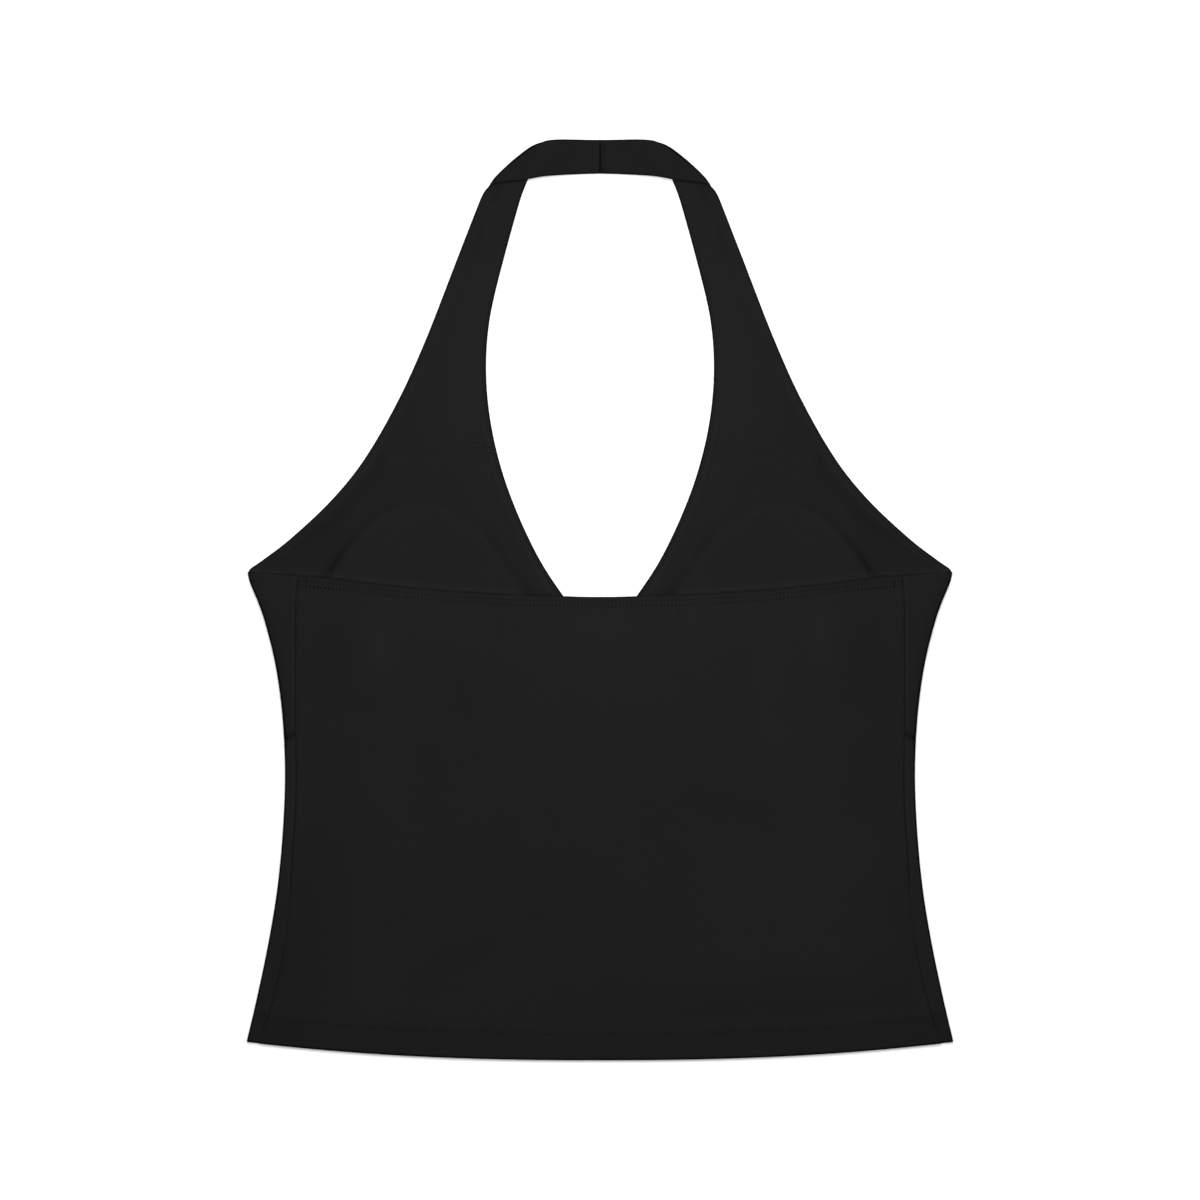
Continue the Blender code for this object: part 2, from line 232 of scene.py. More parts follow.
def lean(rows, at):
    """How much longer a level inset is than one that is square to a leaning edge."""
    at = min(max(at, rows[0][0] + 0.5), rows[-1][0] - 0.5)
    return math.hypot(1, curve(rows, at + 0.5) - curve(rows, at - 0.5))


def neck_x(y, inset=0.0):
    """The right half's inner edge: the centre front seam, then the neckline above the V."""
    if y <= V_POINT:
        return HALF_SEAM
    return max(HALF_SEAM, curve(NECKLINE, y)) + inset * lean(NECKLINE, y)


def arm_x(y, inset=0.0):
    return curve(ARMHOLE, y) - inset * lean(ARMHOLE, y)


def hem_y(x):
    return HEM_CENTRE + HEM_RISE * (abs(x) / SIDE_FOLD[0][1]) ** HEM_POWER


def pad_place(x, y):
    """How far outside the pad's outline a point is, its angle, and how near it is to the middle."""
    across, up = abs(x) - PAD_MIDDLE[0], y - PAD_MIDDLE[1]
    angle = math.degrees(math.atan2(up, across)) % 360
    radius = curve(PAD_OUTLINE, angle)
    distance = math.hypot(across, up)
    return distance - radius, angle, 1 - min(1, distance / radius) ** 2


def pad_under_lining(x, y):
    """How far a pad lifts the lining over it."""
    outside, _, dome = pad_place(x, y)
    share = smooth((LINING_RAMP[0] - outside) / sum(LINING_RAMP))
    return share * mix(PAD_EDGE_UNDER_LINING, PAD_CROWN, dome)


def pad_edge_relief(x, y):
    """The lining's soft ridge over a pad's edge, and the valley that the edge leaves around it."""
    outside, angle, _ = pad_place(x, y)
    if abs(outside) > 14:
        return 0.0
    valley = curve(PAD_VALLEY, angle) * bump(outside, 1.0, curve(PAD_VALLEY_WIDTH, angle))
    return PAD_RIDGE * bump(outside, -3.0, 2.4) - valley


def pad_under_back(x, y):
    outside, _, dome = pad_place(x, y)
    share = smooth((BACK_SKIRT - outside) / (BACK_SKIRT + BACK_SKIRT_INSIDE))
    return share * mix(PAD_EDGE, PAD_CROWN, dome)


def creases(rows, x, y):
    """Height that the soft troughs and ridges give a point, and how much of it is painted as shade or
    highlight.

    Each fades out at both its ends, and a wide one hardly shades."""
    total = tone = 0.0
    for from_x, from_y, to_x, to_y, half_width, height in rows:
        run_x, run_y = to_x - from_x, to_y - from_y
        length = math.hypot(run_x, run_y)
        share = ((x - from_x) * run_x + (y - from_y) * run_y) / length**2
        if 0 < share < 1:
            off = ((x - from_x) * run_y - (y - from_y) * run_x) / length
            fade = smooth(share / CREASE_FADE) * smooth((1 - share) / CREASE_FADE)
            lift = height * fade * bump(off, 0, half_width)
            total += lift
            tone += lift * min(1, CREASE_SHADE_WIDTH / half_width)
    return total, tone


# Troughs and ridges of each piece: from x, from y, to x, to y, half width, height.
BACK_CREASES = (
    (166, -132, 173.5, -228, 3.6, -0.15), (-168, -136, -176, -230, 3.6, -0.08),
    (18, -229, 172, -222, 7, -0.16), (-150, -229, -20, -236, 3.4, -0.08),
    (-130, -188, -35, -120, 13, -0.45), (-135, -228, 15, -150, 12, -0.4),
    (-100, -60, -88, -150, 11, -0.3), (20, -105, 120, -128, 12, -0.3),
    (-125, 4, -104, -100, 8, 0.3), (95, 2, 89, -100, 8, 0.3), (120, 3, 123, -44, 7, 0.42),
    (-123, 3, -122, -46, 7, 0.36), (-80, -16, -72, -74, 8, -0.26), (-141, -2, -146, -66, 8, -0.24),
    (144, 0, 149, -70, 8, -0.24), (42, 0, 45, -24, 1.9, -0.14), (48, 0, 51.5, -20, 1.8, 0.12),
    (55, 0.5, 57, -26, 2.2, -0.14), (-44, 0, -47, -22, 2, -0.13), (-53, 0.5, -56, -27, 2.2, -0.14),
    (165.8, 0, 159.5, 5.5, 1.1, 0.24), (-165.6, -0.5, -158.8, 5, 1.2, 0.22),
    (164.5, -30, 160, -66, 2.6, -0.14), (-164.5, -24, -161, -58, 2.4, -0.14),
)
LINING_CREASES = (
    (35, -3, 47, 22, 2.6, -0.1), (25, -4, 38, 22, 3, 0.2), (152.5, 9, 141, 31, 2.4, -0.25),
    (98, 70, 70, 60, 5, -0.14), (150, 46, 176, 22, 3.2, -0.16), (60, 60, 66, 78, 3.5, 0.14),
    (112, 78, 128, 56, 4, -0.12),
)
STRAP_CREASES = (
    (52.5, 229, 61.5, 216.5, 1.5, -0.28), (47, 228, 52, 214, 2, -0.12),
    (70, 180, 66, 214, 3, -0.1), (76, 96, 70, 150, 5, 0.14), (95, 88, 86, 132, 4, -0.1),
)
FRONT_CREASES = (
    (-120, -240, -30, -150, 9, 0.3), (40, -120, 150, -190, 9, 0.25),
)


def back_edge_distance(x, y):
    return curve(BACK_TOP, abs(x)) - y


def hem_row_distance(row, x):
    """Distance from the hem to a row of its stitching, which is a little less at the sides."""
    share = (abs(x) / SIDE_FOLD[0][1]) ** 2
    return mix(HEM_ROWS[row], HEM_ROWS_AT_SIDE[row], share)


def hem_relief(x, above_hem):
    """The hem's turn-up is a little proud, with a groove at each row and a ridge under the upper."""
    low, high = hem_row_distance(0, x), hem_row_distance(1, x)
    grooves = 0.05 * bump(above_hem, low, 0.5) + 0.07 * bump(above_hem, high, 0.45)
    ridge = 0.16 * bump(above_hem, high - 0.9, 0.8)
    return ridge - grooves - 0.06 * smooth((above_hem - high) / 2.6)


def back_height(x, y):
    """The back lies on the front, and higher over the linings and the pads."""
    over_lining = smooth((y - WAIST_SEAM + 22) / 28)
    return mix(BACK_LOW, BACK_HIGH, over_lining) + pad_under_back(x, y)


def low_side(y):
    """0 above the hips, where the side seam stands out, to 1 near the hem, where it lies flat."""
    return smooth((-150 - y) / 25)


def seam_side(y, side):
    """Where the cloth ends at the side seam: the strip on side 1, the back on side -1."""
    return curve(SIDE_SEAM, y) + side * mix(HALF_SEAM, LINING_HALF_SEAM, low_side(y))


def back_relief(x, y, from_seam):
    """The back's rows, seam allowances and creases, and how much of them is painted as shade or
    highlight.
    """
    below_edge = back_edge_distance(x, y)
    upper, lower = BACK_EDGE_ROWS
    rows = 0.03 * bump(below_edge, upper, 0.8) + 0.04 * bump(below_edge, lower, 0.7)
    swell = 0.04 * bump(below_edge, mix(upper, lower, 0.5), 0.9)
    allowance = 0.14 * smooth((from_seam - 0.6) / 1.2) * smooth((7.0 - from_seam) / 2.5)
    roll = 0.25 * (1 - low_side(y)) * bump(from_seam, 0, 0.4)
    fine = swell - rows - roll + hem_relief(x, y - hem_y(x))
    away = smooth((below_edge - 0.4) / 1.5)
    lift, tone = creases(BACK_CREASES, x, y)
    return fine + away * (allowance + lift), fine + away * (0.4 * allowance + tone)


def side_turn(y):
    """Radius of the cloth's middle where the front folds round the side, and where it starts."""
    full = (back_height(curve(SIDE_SEAM, y), y) - FRONT_HEIGHT) / 2
    radius = mix(full, UNDERARM_TURN, smooth((y - UNDERARM + 14) / 14))
    return radius, curve(SIDE_FOLD, y) - radius - JERSEY_WALL / 2


def underarm_corner(x, y):
    """1 at the underarm corner, where the layers are squeezed thin, fading to 0 around it."""
    return smooth(1 - math.hypot(abs(x) - SIDE_FOLD[-1][1], y - UNDERARM) / CORNER_REACH)


def side_wrap(y, slant):
    """Points of one section round the side and along the strip on the back, to the side seam."""
    radius, turn_x = side_turn(y)
    points = []
    steps = 10
    for step in range(1, steps + 1):
        angle = math.pi * (step / steps - 0.5)
        x = turn_x + radius * math.cos(angle)
        points.append((x, y, FRONT_HEIGHT + radius * (1 + math.sin(angle)), 0.0))
    seam_x = seam_side(y, 1)
    seam_height = back_height(seam_x, y)
    width = turn_x - seam_x
    for to_seam in (0.82, 0.64, 0.46, 0.30, 0.18, 0.10, 0.07, 0.045, 0.02, 0.0):
        from_seam = to_seam * width
        lip = 0.30 * bump(from_seam, 1.1, 0.9) - 0.25 * bump(from_seam, 0, 0.35)
        lip *= 1 - low_side(y)
        share = 1 - to_seam
        height = mix(FRONT_HEIGHT + 2 * radius, seam_height, smooth(share))
        points.append((seam_x + from_seam, y + slant * share, height + lip, lip))
    return points


def ladder(start, end, lean_start, lean_end, near, far, between):
    """Places along a section: `near` and `far` are steps from its ends, square to each edge.

    Each place is (x, how far it is from the start's edge, how far from the end's)."""
    width = end - start
    first = [step * lean_start for step in near]
    last = [step * lean_end for step in far]
    squeeze = min(1.0, width / 1.3 / max(first[-1] + last[-1], 0.001))
    first = [step * squeeze for step in first]
    last = [step * squeeze for step in last]
    inner = width - first[-1] - last[-1]
    middle = [first[-1] + inner * k / (between + 1) for k in range(1, between + 1)]
    places = first + middle + [width - step for step in reversed(last)]
    return [(start + at, at / lean_start, (width - at) / lean_end) for at in places]


EVEN = (0.0,)
LINING_EDGE = (0.0, 0.2, 0.45, 0.8, 1.2, 1.6, 2.0, 2.35, 2.7, 3.05, 3.5, 4.2, 5.2)
FRONT_COLUMNS = 44
STRAP_COLUMNS = 12
BUST_LEVELS = [WAIST_SEAM + HALF_SEAM, -73, -69, -64, -58, -52, -46, -40, -35, -31, -28, -26, -25]
BUST_LEVELS += [-23.8, -22.4, -20.5, -18, -15, -12, -9, -6, -3, 0, 3, 6, 8.5, 10.5, 12, 13.4, 14.3, 15.0]
CHEST_LEVELS = [16.1, 17.2, 18.3, 19.7, 21.4, 23.4, 25.8, 28.6] + [32 + 4 * k for k in range(36)]
LINING_LEVELS = [WAIST_SEAM + HALF_SEAM, -73, -68, -62, -55, -48, -41, -34, -29, -26, -25, -23.8]
LINING_LEVELS += [-22, -19, -16, -13, -10, -7.5, -5, -3] + [-1.5 + 1.2 * k for k in range(63)]
LINING_LEVELS += [75.8, 76.8, 77.7, 78.4, 79.0, 79.4, 79.8, 80.2, 80.5, 80.75, 80.97, 81.0]
LINING_SLOPES_FROM = 33.0


def arm_roll(y):
    """Size of the roll round the arm edge: squeezed small at the underarm and round the side."""
    return mix(STRIP_ROLL, 1.0, smooth((y - UNDERARM) / 9))


def front_upper_rows():
    """The outer cloth of the right bust, with its strip on the back, its strap and its band."""
    rows = []
    for y in BUST_LEVELS:
        rise = (y - BUST_LEVELS[0]) / (BUST_LEVELS[-1] - BUST_LEVELS[0])
        slant = mix(WAIST_SEAM_SLANT, -STRIP_DROP, smooth(rise))
        inset = ROLL_REACH * smooth((y - V_POINT) / 3)
        places = ladder(neck_x(y, inset), side_turn(y)[1], 1, 1, EVEN, EVEN, FRONT_COLUMNS - 1)
        rows.append([(x, y, FRONT_HEIGHT, 0.0) for x, _, _ in places] + side_wrap(y, slant))
    for y in CHEST_LEVELS:
        reach = ROLL * arm_roll(y) + JERSEY_WALL / 2
        start, end = neck_x(y, ROLL_REACH), arm_x(y, reach)
        places = ladder(start, end, 1, 1, EVEN, EVEN, FRONT_COLUMNS - 1)
        rows.append([(x, y, FRONT_HEIGHT, 0.0) for x, _, _ in places])

    heights = (FRONT_HEIGHT, BAND_LIFT)
    steps = [k / FRONT_COLUMNS for k in range(FRONT_COLUMNS + 1)]
    return rows + strap_rows(steps, ROLL, heights, OUTER_FOLD_REACH, 0, no_relief)


STRAP_STEPS = 24
TURN_STEPS = 12
BAND_STEPS = 40
FOLD_BLEND = 4


def near_fold():
    """How near each of the strap's sections is to its fold, 0 to 1 and over: strap, turn and band."""
    strap = [smooth((k - STRAP_STEPS + FOLD_BLEND) / FOLD_BLEND) for k in range(STRAP_STEPS)]
    band = [smooth((FOLD_BLEND - k) / FOLD_BLEND) for k in range(1, BAND_STEPS + 1)]
    turn = [1 + FOLD_SQUEEZE * math.sin(math.pi * k / TURN_STEPS) for k in range(TURN_STEPS + 1)]
    return strap, turn, band


def inset_point(rows, at, inset, along_y):
    """A point at an inset from an edge given as rows of (y, x) or, along a band, of (x, y)."""
    at = min(max(at, rows[0][0] + 0.2), rows[-1][0] - 0.2)
    slope = (curve(rows, at + 0.2) - curve(rows, at - 0.2)) / 0.4
    size = inset / math.hypot(1, slope)
    if along_y:
        return Vector((curve(rows, at) + size, at - size * slope))
    return Vector((at - size * slope, curve(rows, at) + size))


def strap_rows(steps, lap, heights, reach, setback, relief):
    """Sections from the chest over the fold to the nape, for the outer cloth or the facing.

    They end inside the strap's edges by a lap for a full roll, and the less the smaller it is."""

    def section(neck, arm, inset, bow, back_by, height, relief_here):
        width = (arm - neck).length
        row = []
        for step in steps:
            out = bow * 4 * step * (1 - step) - back_by
            x, y = neck.lerp(arm, step) + Vector(FOLD_OUT) * out
            lift, tone = relief_here(inset + step * width, inset + (1 - step) * width, x, y)
            row.append((x, y, height + lift, tone))
        return row

    near_strap, _, near_band = near_fold()
    rows, over = [], []
    for k, near in enumerate(near_strap + [1.0]):
        neck_y, arm_y, bow = along(STRAP_SECTIONS, k * (len(STRAP_SECTIONS) - 1) / STRAP_STEPS)
        inset = lap * mix(1.0, FOLD_ROLL, near) + JERSEY_WALL / 2
        neck = inset_point(NECKLINE, neck_y, inset, True)
        arm = inset_point(ARMHOLE, arm_y, -inset, True)
        rows.append(section(neck, arm, inset, bow, setback * near, heights[0], relief))
    for k, near in enumerate([1.0] + near_band):
        neck_x_at, arm_x_at, bow, lift = along(BAND_SECTIONS, k * (len(BAND_SECTIONS) - 1) / BAND_STEPS)
        inset = lap * mix(1.0, FOLD_ROLL, near) + JERSEY_WALL / 2
        neck = inset_point(BAND_TOP, neck_x_at, -inset, False)
        arm = inset_point(BAND_BOTTOM, arm_x_at, inset, False)
        if k == BAND_STEPS:
            neck.x = arm.x = NAPE_HALF_GAP
        over.append(section(neck, arm, inset, bow, setback * near, lift + heights[1], no_relief))
    below, above = rows.pop(), over.pop(0)
    for step in range(TURN_STEPS + 1):
        angle = math.pi * (step / TURN_STEPS - 0.5)
        risen = (1 + math.sin(angle)) / 2
        row = []
        for i, (low, high) in enumerate(zip(below, above)):
            share = i / (len(below) - 1)
            out = mix(*reach, share) * math.cos(angle)
            for from_end, (extent, least) in zip((share, 1 - share), FOLD_ENDS):
                out *= mix(1.0, least, max(0.0, 1 - from_end / extent) ** 2)
            x, y, z, _ = (mix(low[axis], high[axis], risen) for axis in range(4))
            row.append((x + FOLD_OUT[0] * out, y + FOLD_OUT[1] * out, z, 0.0))
        rows.append(row)
    return rows + over


def no_relief(*_):
    return 0.0, 0.0


def edge_relief(from_edge, ridge_at, ridge, dip):
    """Across a lined edge: down into the seam, a ridge up to the stitching, a soft dip inside."""
    return (
        ridge * bump(from_edge, ridge_at, 1.15)
        - dip * bump(from_edge, 6.8, 3.2)
        - 0.05 * bump(from_edge, 0, 0.3)
    )


def lining_over_back_edge(x, y):
    """The lining swells a little where it comes out from under the back."""
    above = y - curve(BACK_TOP, abs(x))
    swell = 0.18 * smooth((above + 0.5) / 1.2) * smooth((5.5 - above) / 4) + 0.45 * bump(above, 1.5, 0.7)
    return swell * smooth((abs(x) - 40) / 12)


def lining_arm_x(y):
    """Where the lining ends at the arm edge, under the tail of the roll."""
    y = max(y, UNDERARM + 0.3)
    return arm_x(y, LINING_LAP * arm_roll(y) + JERSEY_WALL / 2)


def lining_rows():
    """The right cup lining, from the waist seam to the seam with the strap facing."""
    rows = []
    top = LINING_LEVELS[-1]
    for y in LINING_LEVELS:
        slopes = smooth((y - LINING_SLOPES_FROM) / (top - LINING_SLOPES_FROM))

        def level(x):
            return y + slopes * (curve(LINING_TOP, x) - LINING_HALF_SEAM - top)

        inset = LINING_INSET * smooth((y - V_POINT) / 3)
        start, end = neck_x(y, inset), lining_arm_x(y)
        for _ in range(4):
            start = neck_x(level(start), inset)
            end = lining_arm_x(level(end))
        if y < UNDERARM:
            end = min(end, side_turn(y)[1] - 0.8)
        leans = [lean(NECKLINE, level(start)), lean(ARMHOLE, max(level(end), UNDERARM))]
        if y < V_POINT:
            leans = [1, 1]
        row = []
        for x, from_neck, from_arm in ladder(start, end, *leans, LINING_EDGE, LINING_EDGE, 118):
            at_y = level(x)
            seam_gap = curve(LINING_TOP, x) - at_y
            neck_edge = edge_relief(from_neck, 1.9, 0.34, 0.0) * smooth((y - V_POINT) / 4)
            arm_dip = 0.24 * smooth((y - 26) / 14)
            arm_edge = edge_relief(from_arm, 1.8, 0.38, arm_dip) * smooth((y - 12) / 4)
            seam = lining_seam_relief(-seam_gap)
            lift, tone = creases(LINING_CREASES, x, at_y)
            relief = neck_edge + arm_edge + seam + pad_edge_relief(x, at_y)
            relief += lining_over_back_edge(x, at_y)
            height = LINING_HEIGHT + pad_under_lining(x, at_y) - CORNER_DROP * underarm_corner(x, at_y)
            row.append((x, at_y, height + relief + lift, relief + tone))
        rows.append(row)
    return rows


def lining_seam_relief(above):
    """Across the seam between the cup lining and the strap facing, flattened by its stitching."""
    grooves = sum(0.03 * bump(above, row, 0.45) for row in LINING_ROWS)
    return 0.06 * bump(above, 0.4, 0.8) + 0.05 * bump(above, -2.1, 0.6) - grooves


FACING_LEVELS = (0, 0.002, 0.02, 0.04, 0.07, 0.1, 0.14, 0.19, 0.26, 0.34, 0.44, 0.56, 0.68, 0.8)
FACING_LEVELS += (0.9, 1)
FACING_LEVEL_FROM = 100.0


def facing_rows():
    """The right strap facing, from the lining's seam over the fold to the nape."""

    def relief(from_neck, from_arm, x, y):
        low = smooth((150 - y) / 60)
        neck_edge = edge_relief(from_neck - LINING_INSET, 1.5, 0.05 + 0.28 * low, 0.0)
        arm_edge = edge_relief(from_arm - LINING_INSET, 1.2, 0.02 + 0.28 * low, 0.12)
        seam = lining_seam_relief(y - curve(LINING_TOP, x))
        lift, tone = creases(STRAP_CREASES, x, y)
        edges = neck_edge + arm_edge + seam
        return edges + lift, edges + tone

    def level_row(level):
        start, end = neck_x(FACING_LEVEL_FROM), arm_x(FACING_LEVEL_FROM)
        for _ in range(6):
            start = neck_x(level(start), LINING_INSET)
            end = arm_x(level(end), LINING_INSET)
        leans = [lean(NECKLINE, level(start)), lean(ARMHOLE, level(end))]
        row = []
        for x, neck, arm in ladder(start, end, *leans, LINING_EDGE, LINING_EDGE, STRAP_COLUMNS):
            at_y = level(x)
            lift, tone = relief(neck + LINING_INSET, arm + LINING_INSET, x, at_y)
            row.append((x, at_y, LINING_HEIGHT + lift, tone))
        return row

    rows = []
    for share in FACING_LEVELS:
        rows.append(
            level_row(lambda x: mix(curve(LINING_TOP, x) + LINING_HALF_SEAM, FACING_LEVEL_FROM, share))
        )
    for k in range(1, 24):
        rows.append(level_row(lambda x: FACING_LEVEL_FROM + k * 3.0))
    usable = curve(ARMHOLE, 174.0) - curve(NECKLINE, 175.0) - 2 * LINING_INSET * 1.05
    places = ladder(0, usable, 1.04, 1.07, LINING_EDGE, LINING_EDGE, STRAP_COLUMNS)
    steps = [x / usable for x, _, _ in places]
    heights = (LINING_HEIGHT, -FACING_BELOW_BAND)
    return rows + strap_rows(
        steps, LINING_LAP, heights, FACING_FOLD_REACH, FACING_SETBACK, relief
    )


HEM_STEPS = (0.6, 1.0, 1.4, 2.0, 3.0, 4.2, 6.2, 8.4, 10.4, 12.4, 13.3, 13.7, 14.1, 14.5, 15.1, 15.8)
HEM_STEPS += (16.6, 17.1, 17.6, 18.1, 18.8, 19.8, 21.6)
TURN_UP_ROWS = 20
BACK_EDGE_STEPS = (0.6, 0.9, 1.3, 1.7, 2.1, 2.4, 2.7, 3.0, 3.4, 4.0, 4.6, 5.1, 5.6, 6.0, 6.5, 7.2, 8.2)
BACK_TURN_UP_ROWS = 16
SEAM_STEPS = (0.0, 0.25, 0.5, 0.8, 1.2, 1.8, 2.6, 3.6, 4.8, 6.0, 7.2, 8.6, 10.2, 12.0)


def front_lower_rows():
    """The lower front, with a strip round each side up to its side seam."""
    rows = []
    side_low, side_high = SIDE_FOLD[0][0], WAIST_SEAM - HALF_SEAM
    levels = [(step, 0.0) for step in HEM_STEPS]
    levels += [(HEM_STEPS[-1], k / 26) for k in range(1, 27)]
    for step, share in levels:
        side_y = mix(side_low + step, side_high, share)
        rise = (side_y - side_low) / (side_high - side_low)
        slant = WAIST_SEAM_SLANT * smooth(rise * 2 - 1)
        turn_x = side_turn(side_y)[1]
        right = [
            (x, y, z + hem_relief(x, y - side_low) * smooth((z - 1.2) / 0.8), relief)
            for x, y, z, relief in side_wrap(side_y, slant)
        ]
        middle = []
        count = 2 * FRONT_COLUMNS
        for i in range(count + 1):
            x = mix(-turn_x, turn_x, i / count)
            y = mix(hem_y(x) + step, side_high, share)
            lift, tone = creases(FRONT_CREASES, x, y)
            middle.append((x, y, FRONT_HEIGHT + max(0, lift), tone))
        left = [(-x, y, z, relief) for x, y, z, relief in reversed(right)]
        rows.append(left + middle + right)
    return rows


def back_rows():
    """The back, between the side seams, from the hem to its straight top edge."""
    side_low, side_high = SIDE_FOLD[0][0], curve(BACK_TOP, BACK_TOP[-1][0])
    levels = [(step, 0, 0.0) for step in HEM_STEPS]
    levels += [(HEM_STEPS[-1], BACK_EDGE_STEPS[-1], k / 110) for k in range(1, 110)]
    levels += [(0, step, 1.0) for step in reversed(BACK_EDGE_STEPS)]
    rows = []
    for above_hem, below_top, share in levels:
        level = mix(side_low + above_hem, side_high - below_top, share)
        seam_x = seam_side(level, -1)
        row = []
        for x, left, right in ladder(-seam_x, seam_x, 1, 1, SEAM_STEPS, SEAM_STEPS, 190):
            y = mix(hem_y(x) + above_hem, curve(BACK_TOP, abs(x)) - below_top, share)
            relief, tone = back_relief(x, y, min(left, right))
            row.append((x, y, back_height(x, y) + relief, tone))
        rows.append(row)
    return rows


def sheet_of(rows):
    """A sheet with a vertex at each point of the rows. Where a row is short the sheet ends there.

    A point is x, y, z, and how much of its height is small relief, painted as shade in its hollows and
    as highlight on its ridges."""
    bm = bmesh.new()
    grain = bm.verts.layers.float_vector.new("grain")
    pressed = bm.verts.layers.float.new("pressed")
    width = max(len(row) for row in rows)
    made = bmesh.ops.create_grid(bm, x_segments=width - 1, y_segments=len(rows) - 1, size=1)
    placed, spare = [], []
    for k, row in enumerate(rows):
        verts = made["verts"][k * width : (k + 1) * width]
        for (x, y, z, relief), vert in zip(row, verts):
            vert.co = (x, y, z)
            vert[grain] = vert.co
            # Painted shade in the relief's hollows, painted highlight on its ridges.
            vert[pressed] = -RELIEF_SHADE * relief
        placed.append(verts[: len(row)])
        spare += verts[len(row) :]
    bmesh.ops.delete(bm, geom=spare, context="VERTS")
    bm.normal_update()
    return bm, placed


def extend(bm, edge_verts, places):
    """Extrudes a run of edges and puts the new vertices at the given places."""
    run = set(edge_verts)
    edges = [
        edge
        for vert, after in zip(edge_verts, edge_verts[1:])
        for edge in vert.link_edges
        if edge.other_vert(vert) is after
    ]
    made = bmesh.ops.extrude_edge_only(bm, edges=edges)["geom"]
    follows = {}
    for vert in (item for item in made if isinstance(item, bmesh.types.BMVert)):
        for edge in vert.link_edges:
            if edge.other_vert(vert) in run:
                follows[edge.other_vert(vert)] = vert
    new = [follows[vert] for vert in edge_verts]
    for vert, place in zip(new, places):
        vert.co = place
    return new


def edge_frame(edge_verts, side):
    """At each vertex of an edge: its place, the way out of the sheet, and the way inside.

    The sheet's normals point to the wearer's side. Going along the edge, the way out of the sheet
    is on the right where side is 1 and on the left where it is -1, seen from that side."""
    frame_at = []
    last = len(edge_verts) - 1
    for k, vert in enumerate(edge_verts):
        ahead = edge_verts[min(k + 1, last)].co - edge_verts[max(k - 1, 0)].co
        ahead.normalize()
        into = (vert.normal - ahead * vert.normal.dot(ahead)).normalized()
        frame_at.append((vert.co.copy(), ahead.cross(into) * side, into))
    return frame_at


def follow(bm, edge_verts, side, profile, sizes=None):
    """Carries an edge on along a profile of (out, inside) steps."""
    grain = bm.verts.layers.float_vector["grain"]
    sizes = sizes or [1.0] * len(edge_verts)
    frames = edge_frame(edge_verts, side)
    current, run, before = edge_verts, 0.0, (0.0, 0.0)
    starts = [vert[grain].copy() for vert in edge_verts]
    for out, into in profile:
        run += math.hypot(out - before[0], into - before[1])
        before = (out, into)
        places = [
            at + way_out * out * size + way_in * into * size
            for (at, way_out, way_in), size in zip(frames, sizes)
        ]
        current = extend(bm, current, places)
        for vert, start, (_, way_out, _), size in zip(current, starts, frames, sizes):
            vert[grain] = start + way_out * run * size


def turn_up(bm, lines, inside):
    """Folds an edge over and lays it back along the sheet, line by line, close below it."""
    bm.normal_update()
    drop = TURN_UP_DROP
    normals = [[vert.normal.copy() for vert in line] for line in lines]
    below = [
        [vert.co + normal * inside * drop for vert, normal in zip(line, line_normals)]
        for line, line_normals in zip(lines, normals)
    ]
    frames = [
        (vert.co.copy(), (vert.co - next_in.co).normalized(), normal * inside)
        for vert, next_in, normal in zip(lines[0], lines[1], normals[0])
    ]
    current = lines[0]
    for angle in HALF_TURN:
        places = [
            at + out * drop / 2 * math.sin(angle) + way_in * drop / 2 * (1 - math.cos(angle))
            for at, out, way_in in frames
        ]
        current = extend(bm, current, places)
    for places in below[1:]:
        current = extend(bm, current, places)


def rolled_edge():
    """The roll round an edge and its tail, as (out, inside) steps."""
    roll = [(ROLL * math.sin(angle), ROLL * (1 - math.cos(angle))) for angle in HALF_TURN]
    return roll + list(ROLL_TAIL)


def paint_shading(bm, depth, flat_press=None):
    """Adds painted shade and highlight to the cloth's colour: shade at steep folds and edges, as much as
    the rim shade gives, and the shading given for each place.
    """
    bm.normal_update()
    pressed = bm.verts.layers.float["pressed"]
    # Painted shade on steep cloth, whose normal leans away from straight up, and a little beside it.
    steep = {vert: smooth((0.97 - abs(vert.normal.z)) / 0.2) for vert in bm.verts}
    for vert in bm.verts:
        near = [edge.other_vert(vert) for edge in vert.link_edges if edge.calc_length() < 0.5]
        x, y, z = vert.co
        spread = 0.4 if y > UNDERARM else 0.6
        share = max([steep[vert]] + [spread * steep[other] for other in near])
        tone = vert[pressed] + (flat_press(x, y) if flat_press else 0.0)
        vert[pressed] = tone + max(0.0, share * depth(abs(x), y, z) - max(tone, 0.0))


def rim_painted_shade(x, y, z):
    """How much painted shade a steep edge gets: black at the outline, softer where one piece meets
    another.
    """
    to_side = curve(SIDE_FOLD, y) - x
    if y > UNDERARM + 0.9:
        over_strap = x > 40 and z > 3 and y < 234 - 0.25 * (x - 40)
        return INNER_RIM_SHADE if over_strap else 1.0
    if y - hem_y(x) < 1.5 or to_side < 2.2 or (z < 2.5 and x - neck_x(y) < 2.5):
        return 1.0
    if y > 0 and x < 19:
        return 1.0
    return INNER_RIM_SHADE * (1 - low_side(y))


# Painted shade at the steep edges of the linings and facings, the same everywhere.
def lining_rim_painted_shade(*_):
    return LINING_RIM_SHADE


